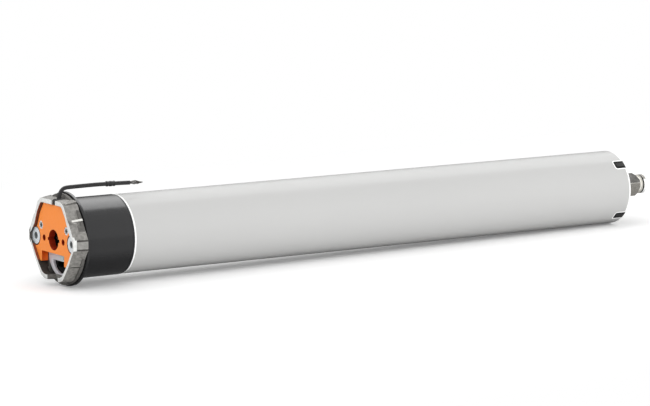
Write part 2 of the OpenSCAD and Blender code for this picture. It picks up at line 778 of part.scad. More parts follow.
// The four notches, with round inner corners, or the lugs that fill them
module notch(x, w, len, round) {
    for (i = [0 : 3]) rotate([lug_turn + 90 * i, 0, 0]) {
        translate([x + round, 0, -w / 2]) cube([len - round, tube_d, w]);
        translate([x, 0, round - w / 2]) cube([len, tube_d, w - 2 * round]);
        for (side = [-1, 1]) translate([x + round, 0, side * (w / 2 - round)])
            rotate([-90, 0, 0]) cylinder(r = round, h = tube_d);
    }
}

module motor_tube() color("#e4e4e2") difference() {
    hollow(tube_x, tube_r, tube_in_r, tube_len);
    notch(tube_end - notch_len, notch_w, notch_len + cut, notch_round);
}

// The tray lies in the lower half of the tube, and its two rails carry the board
module electronics_tray() color("#3c3f45") {
    difference() {
        hollow(tray_x, fit_r, fit_r - tray_wall, tray_len);
        translate([tray_x - cut, -tube_r, board_z]) cube([tray_len + 2 * cut, tube_d, tube_d]);
    }
    for (side = [-1, 1]) intersection() {
        translate([tray_x, side > 0 ? board_w / 2 - 2 : -tube_r, board_z - 2])
            cube([tray_len, tube_r - board_w / 2 + 2, 2]);
        disc(tray_x, fit_r - tray_wall / 2, tray_len);
    }
}

module on_board(x, y, size) {
    translate([x, y, board_z + board_t]) cube(size);
}

module circuit_board() color("#1f6b3a") difference() {
    translate([board_x, -board_w / 2, board_z]) cube([board_len, board_w, board_t]);
    for (y = supply_y) translate([supply_x, y, board_z - cut]) cylinder(r = lead_d / 2, h = board_t + 2 * cut);
}

module board_relays() color("#2b4f9e") for (p = relay_places) on_board(p[0], p[1], relay_size);

module radio_module() color("#c8cbd0") {
    on_board(board_x + 24, -radio_size[1] / 2, [radio_size[0] - 6, radio_size[1], 3.4]);
}

module hall_sensor() color("#2e2e30")
    on_board(board_x, sensor_centre_r * cos(sensor_angle) - sensor_board[1] / 2 - hall_offset, sensor_board);

module terminal_blocks() color("#2f8f5a") {
    on_board(terminal_x, -board_w / 2, terminal_size);
    on_board(terminal_x, 1, terminal_size);
}

// Insulated leads from the cable socket to the board, each with one bend
module supply_leads() color("#8a5a3a") for (i = [0 : pin_count - 1]) {
    round_cut(socket_back, lead_d / 2, supply_x - socket_back, [pin_y(i), pin_z]);
    translate([supply_x, pin_y(i), pin_z]) sphere(r = lead_d / 2, $fn = 24);
    translate([supply_x, pin_y(i), pin_z]) cylinder(r = lead_d / 2, h = board_z - pin_z, $fn = 24);
}

// Insulated leads from the terminal blocks to the motor and the capacitor
module motor_leads() color("#3b3b3f") {
    lead_x = terminal_x + terminal_size[0];
    for (a = lead_angles) round_cut(lead_x, lead_d / 2, shield_1_x - lead_x, polar(lead_r, a));
    for (y = cap_lead_y) round_cut(lead_x, lead_d / 2, cap_x - lead_x, [y, cap_lead_z]);
}

module run_capacitor() color("#dfe1e3") {
    disc(cap_x, cap_r, cap_len);
    disc(cap_x + cap_len, cap_r - 4, 1.5);
}

// A sleeve with three fins that centre the capacitor in the tube
module capacitor_cradle() color("#4b4e55") along(cap_x + 4) linear_extrude(cap_len - 8) difference() {
    union() {
        circle(r = cradle_r);
        intersection() {
            circle(r = fit_r);
            for (a = [90, 210, 330]) rotate(a) translate([0, -fin_t / 2]) square([tube_r, fin_t]);
        }
    }
    circle(r = cap_r + cradle_gap);
}

module end_shield(x) {
    difference() {
        disc(x, fit_r, shield_t);
        disc(x - cut, bush_r, shield_t + 2 * cut);
        for (i = [0 : 5]) round_cut(x - cut, 2.6, shield_t + 2 * cut, polar(17, 60 * i + 30));
    }
}

module front_end_shield() color("#9aa0a6") end_shield(shield_1_x);

module rear_end_shield() color("#9aa0a6") end_shield(shield_2_x);

module shaft_bushes() color("#b5813f") for (x = [shield_1_x, shield_2_x]) hollow(x, bush_r, bush_in_r, shield_t);

// The stator's plates, stamped with one slot for each coil side
module stator_core() color("#77797c") difference() {
    hollow(stator_x, fit_r, stator_bore_r, stator_len);
    for (i = [0 : slot_count - 1]) rotate([360 * i / slot_count, 0, 0])
        translate([stator_x - cut, slot_in_r, -slot_w / 2]) cube([stator_len + 2 * cut, slot_depth, slot_w]);
}

module stator_windings() color("#b06a35") {
    for (x = [winding_1_x, stator_end]) hollow(x, winding_r, winding_in_r, winding_len);
    for (i = [0 : slot_count - 1]) rotate([360 * i / slot_count, 0, 0])
        translate([winding_1_x + winding_len / 2, winding_in_r + 0.2, -slot_w / 2 + slot_gap])
            cube([stator_len + winding_len, winding_r - winding_in_r - 0.4, slot_w - 2 * slot_gap]);
}

module rotor_core() color("#8c8f93") hollow(stator_x, rotor_r, shaft_r, stator_len);

module rotor_shaft() color("#c3c7cb") {
    disc(shield_1_x + 1, shaft_r, ring_x - shield_1_x - 2);
    disc(ring_x - 2, sun_shaft_r, stage_1_x + stage_1_w - ring_x + 2);
}

module guide_pins(r, t, x) {
    for (i = [0 : 2]) round_cut(x, r, t, polar(guide_r, 120 * i + 30));
}

module brake_magnet() color("#6e7276") {
    difference() {
        disc(magnet_front, brake_r, magnet_len);
        disc(magnet_front - cut, shaft_r + 1.4, magnet_len + 2 * cut);
        disc(magnet_back - spring_pocket_len, spring_pocket_r, spring_pocket_len + cut);
        along(magnet_back - coil_len) difference() {
            cylinder(r = coil_r, h = coil_len + cut);
            translate([0, 0, -cut]) cylinder(r = coil_in_r, h = coil_len + 3 * cut);
        }
    }
    guide_pins(guide_pin_r, front_plate_x - magnet_back, magnet_back);
}

module brake_coil() color("#a8632f")
    hollow(magnet_back - coil_len, coil_r - coil_gap, coil_in_r + coil_gap, coil_len - coil_gap);

// The compression spring that pushes the armature on to the friction disc
module brake_spring() color("#9ea3a8") {
    rise = spring_pocket_len + brake_gap - spring_stop - 0.45 - spring_wire_d;
    steps = 12 * spring_turns;
    sides = 6;
    start = magnet_back - spring_pocket_len + spring_wire_d / 2;
    rings = [for (i = [0 : steps]) for (k = [0 : sides - 1])
        let (a = 30 * i, b = 360 * k / sides, r = spring_r + spring_wire_d / 2 * cos(b))
        [start + rise * i / steps + spring_wire_d / 2 * sin(b), r * cos(a), r * sin(a)]];
    polyhedron(rings, concat(
        [[for (k = [0 : sides - 1]) k]],
        [for (i = [0 : steps - 1]) for (k = [0 : sides - 1])
            let (n = (k + 1) % sides) [i * sides + n, i * sides + k, (i + 1) * sides + k, (i + 1) * sides + n]],
        [[for (k = [sides - 1 : -1 : 0]) steps * sides + k]]
    ));
}

module brake_armature() color("#85898d") difference() {
    hollow(armature_x, brake_r - 0.6, shaft_r + 1.4, armature_t);
    guide_pins(guide_pin_r + guide_gap, armature_t + 2 * cut, armature_x - cut);
}

module friction_disc() color("#3a3836") hollow(friction_x, friction_r, shaft_r, friction_t);

module gearbox_front_plate() color("#8f9499") hollow(front_plate_x, fit_r, bush_in_r, front_plate_t);

module gearbox_ring_gear() color("#5d6166") difference() {
    disc(ring_x, fit_r, ring_end - ring_x);
    along(ring_x - cut) linear_extrude(ring_end - ring_x + 2 * cut) ring_profile(ring_teeth, gear_module);
}

module sun_gear(x, t, bore) {
    along(x) linear_extrude(t) difference() {
        wheel_profile(sun_teeth, gear_module);
        circle(r = bore);
    }
}

module sun_gear_1() color("#b3a06a") sun_gear(stage_1_x, stage_1_w, sun_bore_r);

module planet(x, t, i) {
    translate([0, planet_centre_r * cos(120 * i), planet_centre_r * sin(120 * i)])
        along(x) linear_extrude(t) difference() {
            wheel_profile(planet_teeth, gear_module);
            circle(r = planet_bore_r);
        }
}

module planet_1(i) color("#c9c3ae") planet(stage_1_x, stage_1_w, i);

module planet_2(i) color("#a9adb1") planet(stage_2_x, stage_2_w, i);

module planet_3(i) color("#8e9296") planet(stage_3_x, stage_3_w, i);

module planet_1a() planet_1(0);

module planet_1b() planet_1(1);

module planet_1c() planet_1(2);

module planet_2a() planet_2(0);

module planet_2b() planet_2(1);

module planet_2c() planet_2(2);

module planet_3a() planet_3(0);

module planet_3b() planet_3(1);

module planet_3c() planet_3(2);

// A carrier: a plate whose pins reach back into the planets of its stage
module carrier(x, t, pins_x) {
    disc(x, carrier_r, t);
    for (i = [0 : 2]) round_cut(pins_x, pin_r, x + t - pins_x, polar(planet_centre_r, 120 * i));
}

module carrier_1() color("#7f8387") difference() {
    union() {
        carrier(carrier_1_x, carrier_t, stage_1_x);
        sun_gear(carrier_1_x + carrier_t - cut, stage_2_w + stage_gap + cut, carrier_bore_r);
    }
    disc(carrier_1_x - cut, carrier_bore_r, carrier_t + 2 * cut);
}

module carrier_2() color("#74787c") difference() {
    union() {
        carrier(carrier_2_x, carrier_t, stage_2_x);
        sun_gear(carrier_2_x + carrier_t - cut, stage_3_w + stage_gap + cut, carrier_bore_r);
    }
    disc(carrier_2_x - cut, carrier_bore_r, carrier_t + 2 * cut);
}

module output_carrier() color("#6c7074") difference() {
    carrier(output_carrier_x, output_carrier_t, stage_3_x);
    disc(output_carrier_x - cut, journal_r, output_carrier_t + 2 * cut);
}

// The output shaft: a journal, a square with bevelled corners and a grooved end collar
module output_shaft() color("#6f6f6d") {
    disc(output_carrier_x, journal_r, tube_end + 1 - output_carrier_x);
    intersection() {
        translate([tube_end + 1, 0, 0]) rotate([square_turn, 0, 0]) translate([0, -square_af / 2, -square_af / 2])
            cube([square_len - 1, square_af, square_af]);
        union() {
            disc(tube_end, square_ac / 2, square_len - 2);
            along(square_end - 2) cylinder(r1 = square_ac / 2, r2 = square_ac / 2 - 2, h = 2);
        }
    }
    disc(square_end - cut, groove_d / 2, groove_len + 2 * cut);
    disc(groove_end, collar_d / 2, collar_len - collar_bevel);
    along(shaft_end - collar_bevel) cylinder(r1 = collar_d / 2, r2 = collar_d / 2 - collar_bevel, h = collar_bevel);
}

module output_bush() color("#b5813f") hollow(flange_x, output_bush_r, journal_r + bush_gap, tube_end - flange_x);

// The black end flange, whose four lugs fill the tube's notches
module output_flange() color("#1d1d1f") difference() {
    union() {
        disc(flange_x, fit_r, tube_end - flange_x);
        intersection() {
            notch(tube_end - notch_len + lug_gap, notch_w - 2 * lug_gap, notch_len - lug_gap, notch_round);
            disc(flange_x, tube_r - 0.1, tube_end - flange_x);
        }
    }
    disc(flange_x - cut, output_bush_r, tube_end - flange_x + 2 * cut);
}

head_casting();
head_plate();
plate_screws();
lug_screws();
neck_screws();
connector_bracket();
connector_socket();
connector_pins();
plug_clip();
antenna_grommet();
antenna_wire();
antenna_sleeve();
antenna_tip();
neck_housing();
motor_tube();
drive_crown();
sensor_pinion();
sensor_magnet();
electronics_tray();
circuit_board();
board_relays();
radio_module();
hall_sensor();
terminal_blocks();
supply_leads();
motor_leads();
run_capacitor();
capacitor_cradle();
front_end_shield();
rear_end_shield();
shaft_bushes();
stator_core();
stator_windings();
rotor_core();
rotor_shaft();
brake_magnet();
brake_coil();
brake_spring();
brake_armature();
friction_disc();
gearbox_front_plate();
gearbox_ring_gear();
sun_gear_1();
planet_1a();
planet_1b();
planet_1c();
carrier_1();
planet_2a();
planet_2b();
planet_2c();
carrier_2();
planet_3a();
planet_3b();
planet_3c();
output_carrier();
output_shaft();
output_bush();
output_flange();
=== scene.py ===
"""A tubular roller blind motor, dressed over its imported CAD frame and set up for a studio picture.

Every mesh is in metres in the part's own frame: +X runs along the motor's axis from the head to the
output shaft, +Z is up, and the camera stands on the -Y side.
"""
import logging
import math
from dataclasses import dataclass
from enum import Enum
from typing import Callable, Optional, Sequence

import bmesh
import bpy
from mathutils import Matrix, Vector


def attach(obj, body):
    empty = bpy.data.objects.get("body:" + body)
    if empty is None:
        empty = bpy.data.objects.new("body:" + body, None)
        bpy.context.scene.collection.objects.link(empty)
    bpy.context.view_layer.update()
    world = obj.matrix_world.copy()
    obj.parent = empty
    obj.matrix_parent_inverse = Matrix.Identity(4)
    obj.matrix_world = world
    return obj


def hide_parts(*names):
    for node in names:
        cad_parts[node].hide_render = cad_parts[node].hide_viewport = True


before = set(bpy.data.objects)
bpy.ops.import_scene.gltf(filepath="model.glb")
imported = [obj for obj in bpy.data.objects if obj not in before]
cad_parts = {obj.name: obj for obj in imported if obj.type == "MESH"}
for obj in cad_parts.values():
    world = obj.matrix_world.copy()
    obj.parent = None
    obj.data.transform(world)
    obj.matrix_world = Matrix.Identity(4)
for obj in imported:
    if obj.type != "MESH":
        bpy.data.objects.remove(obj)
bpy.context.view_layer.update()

MM = 0.001
LOG = logging.getLogger("roller_blind_motor")
Point = tuple[float, float, float]


def metres(x: float, y: float, z: float) -> Vector:
    """Turns a point in millimetres into one in metres."""
    return Vector((x * MM, y * MM, z * MM))


def linear(red: int, green: int, blue: int) -> tuple[float, float, float, float]:
    """Turns a display colour into a linear one.

    Args:
        red: Red from 0 to 255.
        green: Green from 0 to 255.
        blue: Blue from 0 to 255.

    Returns:
        The linear colour with an alpha of 1.
    """
    def one(level: int) -> float:
        """Decodes one channel."""
        share = level / 255
        return share / 12.92 if share <= 0.04045 else ((share + 0.055) / 1.055) ** 2.4
    return one(red), one(green), one(blue), 1.0


# Shared shader groups

class SocketKind(Enum):
    """The kinds of socket that the node groups use."""

    NUMBER = "NodeSocketFloat"
    WHOLE = "NodeSocketInt"
    COLOUR = "NodeSocketColor"
    VECTOR = "NodeSocketVector"
    GEOMETRY = "NodeSocketGeometry"
    OBJECT = "NodeSocketObject"

    @classmethod
    def of(cls, value: object) -> "SocketKind":
        """Gives the kind of socket that holds a value."""
        return {int: cls.WHOLE, float: cls.NUMBER, Vector: cls.VECTOR, bpy.types.Object: cls.OBJECT}[type(value)]


class NodeTree:
    """A node tree that is built by name, for a material, a shader group or a geometry modifier."""

    def __init__(self, tree: bpy.types.NodeTree) -> None:
        """Wraps a tree, whose named inputs and output node are known where it is a group."""
        self.tree = tree
        self.inputs: list[bpy.types.NodeSocket] = []
        self.end: Optional[bpy.types.Node] = None

    @classmethod
    def group(cls, name: str, kind: str, inputs: dict[str, SocketKind], outputs: dict[str, SocketKind]) -> "NodeTree":
        """Makes a node group with named sockets.

        Args:
            name: The group's name.
            kind: ShaderNodeTree or GeometryNodeTree.
            inputs: The kind of each input.
            outputs: The kind of each output.

        Returns:
            The new tree, with the list of its inputs and its output node.
        """
        made = cls(bpy.data.node_groups.new(name, kind))
        for sockets, way in ((inputs, "INPUT"), (outputs, "OUTPUT")):
            for label, socket_kind in sockets.items():
                made.tree.interface.new_socket(label, in_out=way, socket_type=socket_kind.value)
        made.inputs = list(made.add("NodeGroupInput").outputs)[:len(inputs)]
        made.end = made.add("NodeGroupOutput")
        return made

    def add(self, kind: str, *plugs: object, **settings: object) -> bpy.types.Node:
        """Adds a node.

        Args:
            kind: The node's type.
            *plugs: What goes into the node's inputs in order, or one dictionary by the inputs' names: a node,
                a socket or a value, or None to leave an input alone.
            **settings: The node's properties.

        Returns:
            The new node.
        """
        node = self.tree.nodes.new(kind)
        for key, value in settings.items():
            setattr(node, key, value)
        named = plugs[0] if plugs and isinstance(plugs[0], dict) else dict(enumerate(plugs))
        for place, source in named.items():
            self.plug(source, node.inputs[place])
        return node

    def plug(self, source: object, target: bpy.types.NodeSocket) -> None:
        """Links a socket or sets a value.

        Args:
            source: A node or socket to link from, a value to set, or None to leave the target alone.
            target: The input socket.
        """
        if isinstance(source, bpy.types.Node):
            source = source.outputs[0]
        if isinstance(source, bpy.types.NodeSocket):
            self.tree.links.new(source, target)
        elif source is not None:
            target.default_value = source

    def maths(self, operation: str, *terms: object) -> bpy.types.NodeSocket:
        """Adds a Math node and returns its output."""
        return self.add("ShaderNodeMath", *terms, operation=operation).outputs[0]

    def vector(self, x: object, y: object = 0.0, z: object = 0.0) -> bpy.types.Node:
        """Adds a node that joins three numbers to a vector."""
        return self.add("ShaderNodeCombineXYZ", x, y, z)

    def round_x(self, along: object, reach: object, angle: object) -> bpy.types.Node:
        """Adds the nodes for a point at some reach from the X axis and at an angle round it."""
        sides = (self.maths("MULTIPLY", reach, self.maths(way, angle)) for way in ("COSINE", "SINE"))
        return self.vector(along, *sides)

    def copies(self, points: object, shape: object, turn: object = None) -> bpy.types.Node:
        """Adds real copies of a shape at some points, each with its turn."""
        placed_at = self.add("GeometryNodeInstanceOnPoints", {"Points": points, "Instance": shape, "Rotation": turn})
        return self.add("GeometryNodeRealizeInstances", placed_at)

    def finish(self, **sockets: object) -> bpy.types.NodeTree:
        """Plugs the group's outputs by name and returns the tree."""
        for label, source in sockets.items():
            self.plug(source, self.end.inputs[label])
        return self.tree


class Effects:
    """The shader groups that more than one finish uses, each built once."""

    LUMPS = 0.4
    COARSER = 0.13

    def __init__(self) -> None:
        """Builds the groups."""
        self.grain = self._grain()
        self.tone = self._tone()
        self.lines = self._lines()
        self.notches = self._notches()

    @staticmethod
    def _group(name: str, inputs: str, outputs: str) -> NodeTree:
        """Makes a shader group whose sockets are named in two lists: Vector and Stretch are vectors.

        Args:
            name: The group's name.
            inputs: The inputs' names with commas between them.
            outputs: The outputs' names with commas between them.

        Returns:
            The empty group.
        """
        special = {"Vector": SocketKind.VECTOR, "Stretch": SocketKind.VECTOR, "Colour": SocketKind.COLOUR}
        kinds = [{label: special.get(label, SocketKind.NUMBER) for label in names.split(", ")}
                 for names in (inputs, outputs)]
        return NodeTree.group(name, "ShaderNodeTree", *kinds)

    @classmethod
    def _grain(cls) -> bpy.types.NodeTree:
        """Builds the fine grain of cast, moulded and sprayed surfaces: a height from two noises."""
        made = cls._group("surface_grain", "Vector, Scale", "Height, Mask")
        vector, scale = made.inputs
        fine = made.add("ShaderNodeTexNoise", vector, None, scale, 3.0, 0.6)
        coarse = made.add("ShaderNodeTexNoise", vector, None, made.maths("MULTIPLY", scale, cls.COARSER), 2.0, 0.5)
        lifted = made.maths("MULTIPLY", coarse, cls.LUMPS)
        return made.finish(Height=made.maths("ADD", fine, lifted),
                           Mask=made.add("ShaderNodeMapRange", coarse, 0.35, 0.65, 0.0, 1.0))

    @classmethod
    def _tone(cls) -> bpy.types.NodeTree:
        """Builds the slow change of a colour over a surface."""
        made = cls._group("tone_drift", "Vector, Colour, Scale, Spread", "Colour")
        vector, colour, scale, spread = made.inputs
        noise = made.add("ShaderNodeTexNoise", vector, None, scale, 4.0, 0.55)
        level = made.maths("MULTIPLY_ADD", made.maths("SUBTRACT", noise, 0.5), spread, 1.0)
        return made.finish(Colour=made.add("ShaderNodeVectorMath", colour, made.vector(level, level, level),
                                           operation="MULTIPLY"))

    @classmethod
    def _lines(cls) -> bpy.types.NodeTree:
        """Builds the marks of turning, drawing or stamping: noise drawn out by a stretch of each axis."""
        made = cls._group("tool_lines", "Vector, Stretch, Scale", "Height, Mask")
        vector, stretch, scale = made.inputs
        drawn = made.add("ShaderNodeVectorMath", vector, stretch, operation="MULTIPLY")
        noise = made.add("ShaderNodeTexNoise", drawn, None, scale, 2.0, 0.5)
        return made.finish(Height=noise, Mask=made.add("ShaderNodeMapRange", noise, 0.3, 0.7, 0.0, 1.0))

    @classmethod
    def _notches(cls) -> bpy.types.NodeTree:
        """Builds the distance from the outline of the nearest notch, laid flat along the tube and round it."""
        made = cls._group("notch_field", "Vector, Centre, Half Length, Half Width, Corner, Radius", "Distance")
        vector, centre, half_length, half_width, corner, radius = made.inputs
        parts = made.add("ShaderNodeSeparateXYZ", vector).outputs
        angle = made.maths("ARCTAN2", parts[2], parts[1])
        turned = made.maths("SUBTRACT", made.maths("FLOORED_MODULO", angle, math.pi / 2), math.pi / 4)
        places = (made.maths("SUBTRACT", parts[0], centre), made.maths("MULTIPLY", turned, radius))
        over = [made.maths("ADD", made.maths("SUBTRACT", made.maths("ABSOLUTE", place), half), corner)
                for place, half in zip(places, (half_length, half_width))]
        outside = made.vector(*(made.maths("MAXIMUM", part, 0.0) for part in over))
        length = made.add("ShaderNodeVectorMath", outside, operation="LENGTH").outputs["Value"]
        inside = made.maths("MINIMUM", made.maths("MAXIMUM", *over), 0.0)
        return made.finish(Distance=made.maths("SUBTRACT", made.maths("ADD", length, inside), corner))


class Texture(Enum):
    """How a surface was made: the stretch along X, Y and Z of the marks that it carries."""

    GRAIN = (1.0, 1.0, 1.0)
    TURNED = (1.0, 0.02, 0.02)
    DRAWN = (0.01, 1.0, 1.0)
    STAMPED = (0.3, 1.0, 0.05)


@dataclass(frozen=True)
class Finish:
    """One finish: its colour, its gloss, the scale and depth of its marks, and how its tone drifts."""

    name: str
    colour: tuple[int, int, int]
    roughness: float
    metallic: float = 0.0
    scale: float = 900.0
    depth: float = 0.05
    tone_scale: float = 60.0
    tone_spread: float = 0.12
    rough_spread: float = 0.1
    texture: Texture = Texture.GRAIN
    specular: float = 0.5
    coat: float = 0.0
    coat_roughness: float = 0.1
    border: Optional[tuple[int, int, int]] = None
    border_place: tuple[float, float] = (0.0, 0.0)

    def build(self, effects: Effects) -> bpy.types.Material:
        """Builds the material.

        Args:
            effects: The shared shader groups.

        Returns:
            The material, with every plain number set on the shader's own sockets.
        """
        material = bpy.data.materials.new(self.name)
        material.use_nodes = True
        tree = NodeTree(material.node_tree)
        place = tree.add("ShaderNodeTexCoord").outputs["Object"]
        tone = tree.add("ShaderNodeGroup", {
            "Vector": place, "Colour": linear(*self.colour), "Scale": self.tone_scale, "Spread": self.tone_spread},
            node_tree=effects.tone)
        plain = self.texture is Texture.GRAIN
        marks = tree.add("ShaderNodeGroup", {
            "Vector": place, "Scale": self.scale, **({} if plain else {"Stretch": self.texture.value})},
            node_tree=effects.grain if plain else effects.lines).outputs
        colour = tone.outputs[0]
        if self.border is not None:
            notch = {label: value * MM for label, value in NOTCH.items()}
            field = tree.add("ShaderNodeGroup", {"Vector": place, **notch}, node_tree=effects.notches)
            band = tree.add("ShaderNodeMapRange", field, *(value * MM for value in self.border_place), 1.0, 0.0)
            colour = tree.add("ShaderNodeMix", {0: band, 6: colour, 7: linear(*self.border)},
                              data_type="RGBA").outputs[2]
        centred = tree.maths("SUBTRACT", marks["Mask"], 0.5)
        shader = material.node_tree.nodes["Principled BSDF"]
        for label, value in {
                "Base Color": colour, "Metallic": self.metallic, "Specular IOR Level": self.specular,
                "Roughness": tree.maths("MULTIPLY_ADD", centred, self.rough_spread, self.roughness),
                "Coat Weight": self.coat, "Coat Roughness": self.coat_roughness,
                "Normal": tree.add("ShaderNodeBump", {
                    "Strength": 1.0, "Distance": self.depth * MM, "Height": marks["Height"]})}.items():
            tree.plug(value, shader.inputs[label])
        return material


NOTCH = {"Centre": 501.4, "Half Length": 9.8, "Half Width": 3.5, "Corner": 1.6, "Radius": 29.0}

# Each row: name, colour, roughness, metallic, scale and depth (mm) of the marks, scale and spread of the tone,
# spread of the roughness.
FINISHES: dict[str, Finish] = {f.name: f for f in (
    Finish("cast_alloy", (133, 131, 127), 0.6, 0.1, 700, 0.3, 420, 1.7, 0.25),
    Finish("cast_edge", (176, 175, 170), 0.55, 0.1, 700, 0.25, 420, 1.6),
    # Crests of the upper ribs: a painted highlight.
    Finish("cast_rib_highlight", (216, 215, 210), 0.5, 0.1, 700, 0.2, 420, 0.8),
    Finish("cast_lug", (142, 141, 137), 0.6, 0.1, 700, 0.3, 420, 1.2),
    Finish("cast_shade", (92, 90, 87), 0.7, 0, 700, 0.2, 420, 1.2),
    # Rounded lug edges and the line low on each side: painted shade.
    Finish("cast_crease_shade", (66, 64, 61), 0.7, 0, 700, 0.2, 420, 1.2),
    # Pocket walls beside the plate: painted shade with the plate's orange bounce light.
    Finish("pocket_bounce_shade", (134, 70, 44), 0.6, 0, 620, 0.1, 200, 0.6),
    # The machined front of the rim; the same finish paints a highlight along the front of each lug's side.
    Finish("machined_rim_and_lug_highlight", (223, 224, 222), 0.45, 0, 1500, 0.03, 420, 0.5, 0.15, texture=Texture.STAMPED),
    Finish("cast_pocket", (54, 50, 46), 0.6, 0, 620, 0.1, 200, 0.6),
    Finish("orange_moulding", (253, 146, 62), 0.45, 0, 2400, 0.012, 60, 0.05, 0.08, specular=0.35),
    # Walls of the plate's holes and sides: painted shade.
    Finish("orange_hole_shade", (150, 40, 14), 0.5, 0, 2400, 0.012, 300, 0.3, specular=0.2),
    Finish("orange_side_shade", (244, 106, 30), 0.5, 0, 2400, 0.012, 60, 0.1, specular=0.3),
    Finish("black_moulding", (36, 36, 37), 0.19, 0, 2600, 0.006, 60, 0.1, 0.06),
    # The tube turns near white in a band round each notch: a painted edge highlight.
    Finish("sprayed_tube", (188, 188, 187), 0.5, 0, 1500, 0.002, 8, 0.03, 0.05, specular=0.25, coat=0.25,
           coat_roughness=0.05, border=(255, 255, 254), border_place=(0.7, 1.0)),
    # Near white: bare cut edges, and painted highlights on the tube's end bands and the shaft's collar.
    Finish("bare_edge_and_highlight", (250, 250, 249), 0.4, 0, 1500, 0.004, 60, 0.03, texture=Texture.TURNED, specular=0.6),
    Finish("zinc_plate", (196, 201, 206), 0.32, 1, 3000, 0.008, 300, 0.15, texture=Texture.STAMPED),
    # Screw recesses: painted shade.
    Finish("screw_recess_shade", (140, 145, 145), 0.5, 0.2, 2600, 0.01, 500, 0.5),
    Finish("clip_steel", (198, 214, 217), 0.4, 0.2, 2500, 0.01, 300, 0.3, texture=Texture.STAMPED),
    Finish("screw_steel", (232, 238, 242), 0.38, 0.3, 2600, 0.01, 500, 0.4),
    Finish("bracket_steel", (214, 213, 218), 0.45, 0.1, 2500, 0.01, 200, 0.2, texture=Texture.STAMPED),
    Finish("socket_black", (10, 9, 10), 0.7, 0, 1800, 0.02, 60, 0.1, specular=0.15),
    Finish("contact_brass", (205, 170, 96), 0.28, 1, 2500, 0.005, texture=Texture.DRAWN),
    Finish("grommet_rubber", (26, 26, 28), 0.7, 0, 2200, 0.03, 60, 0.15),
    Finish("lead_sheath", (36, 35, 36), 0.42, 0, 2400, 0.02, 300, 0.3, 0.2),
    Finish("crimp_sleeve", (30, 30, 31), 0.36, 0, 1800, 0.02, texture=Texture.TURNED),
    Finish("bare_strand", (104, 101, 97), 0.4, 1, 2600, 0.01, texture=Texture.DRAWN),
    Finish("neck_black", (40, 41, 44), 0.5, 0, 1500, 0.02),
    Finish("shaft_steel", (147, 144, 138), 0.5, 0.2, 1300, 0.05, 700, 1.3, 0.25),
    # Upper flats of the shaft: a painted dark reflection.
    Finish("shaft_top_reflection", (68, 66, 62), 0.6, 0, 1300, 0.05, 700, 1.5, 0.25),
    # Rounded corners and the groove of the shaft: painted highlight.
    Finish("shaft_edge_highlight", (240, 238, 231), 0.4, 0.2, 1300, 0.03, 700, 0.8),
    # Band at the start of the shaft's collar: painted shade.
    Finish("collar_band_shade", (30, 29, 28), 0.6, 0, 1300, 0.03, 60, 0.3),
    Finish("flange_black", (18, 18, 20), 0.5, 0, 1500, 0.02, 300, 0.25),
    # Outer faces of the black lugs: a painted grey highlight, black towards the notch's edge.
    Finish("lug_highlight_grey", (58, 58, 58), 0.5, 0, 1500, 0.05, 500, 0.4, specular=0.1, border=(8, 8, 9),
           border_place=(-1.5, -1.9)),
    Finish("bush_bronze", (166, 122, 66), 0.35, 1, 2500, 0.01, texture=Texture.TURNED),
    Finish("white_nylon", (226, 223, 214), 0.45, 0, 1800, 0.01),
    Finish("sintered_magnet", (70, 73, 78), 0.5, 0.7, 2000, 0.03),
    Finish("tray_moulding", (62, 66, 72), 0.5, 0, 1600, 0.02),
    Finish("board_laminate", (24, 92, 52), 0.34, 0, 2200, 0.01, 500, 0.3, texture=Texture.STAMPED, coat=0.4),
    Finish("relay_blue", (38, 80, 158), 0.3, 0, 2400, 0.006, 60, 0.05),
    Finish("tinned_can", (196, 198, 202), 0.28, 1, 2800, 0.006, texture=Texture.STAMPED),
    Finish("chip_black", (34, 34, 36), 0.5, 0, 2600, 0.01),
    Finish("terminal_green", (44, 140, 92), 0.38, 0, 2200, 0.01),
    Finish("brown_sheath", (112, 70, 44), 0.4, 0, 2200, 0.01),
    Finish("grey_sheath", (66, 66, 70), 0.4, 0, 2200, 0.01),
    Finish("capacitor_can", (226, 226, 228), 0.25, 0, 1500, 0.005, 60, 0.04, coat=0.4),
    Finish("shield_alloy", (158, 161, 165), 0.45, 0.9, 1100, 0.06, 260, 0.3),
    Finish("lamination_steel", (104, 106, 108), 0.42, 0.9, 4200, 0.05, 300, 0.3, texture=Texture.TURNED),
    Finish("enamelled_copper", (184, 104, 54), 0.3, 0.9, 3600, 0.08, 400, 0.3, texture=Texture.TURNED),
    Finish("ground_steel", (150, 153, 157), 0.25, 1, 3200, 0.01, texture=Texture.TURNED),
    Finish("spring_steel", (150, 154, 160), 0.3, 1, 3200, 0.01, texture=Texture.DRAWN),
    Finish("brake_iron", (118, 121, 124), 0.45, 0.9, 2200, 0.03, texture=Texture.TURNED),
    Finish("friction_lining", (60, 57, 54), 0.8, 0, 1200, 0.15, 900, 0.8),
    Finish("hobbed_steel", (138, 140, 143), 0.3, 1, 3000, 0.01, texture=Texture.DRAWN),
    Finish("sun_brass", (190, 162, 96), 0.3, 1, 3000, 0.01, texture=Texture.DRAWN),
    Finish("carrier_steel", (124, 127, 130), 0.35, 1, 2800, 0.01, texture=Texture.TURNED),
)}


class Palette:
    """Builds each finish once and hands it out by name."""

    def __init__(self) -> None:
        """Starts with the shared groups and no materials."""
        self.effects = Effects()
        self.made: dict[str, bpy.types.Material] = {}

    def get(self, name: str) -> bpy.types.Material:
        """Gives the material of a finish, building it at its first use."""
        if name not in self.made:
            self.made[name] = FINISHES[name].build(self.effects)
        return self.made[name]


# Meshes

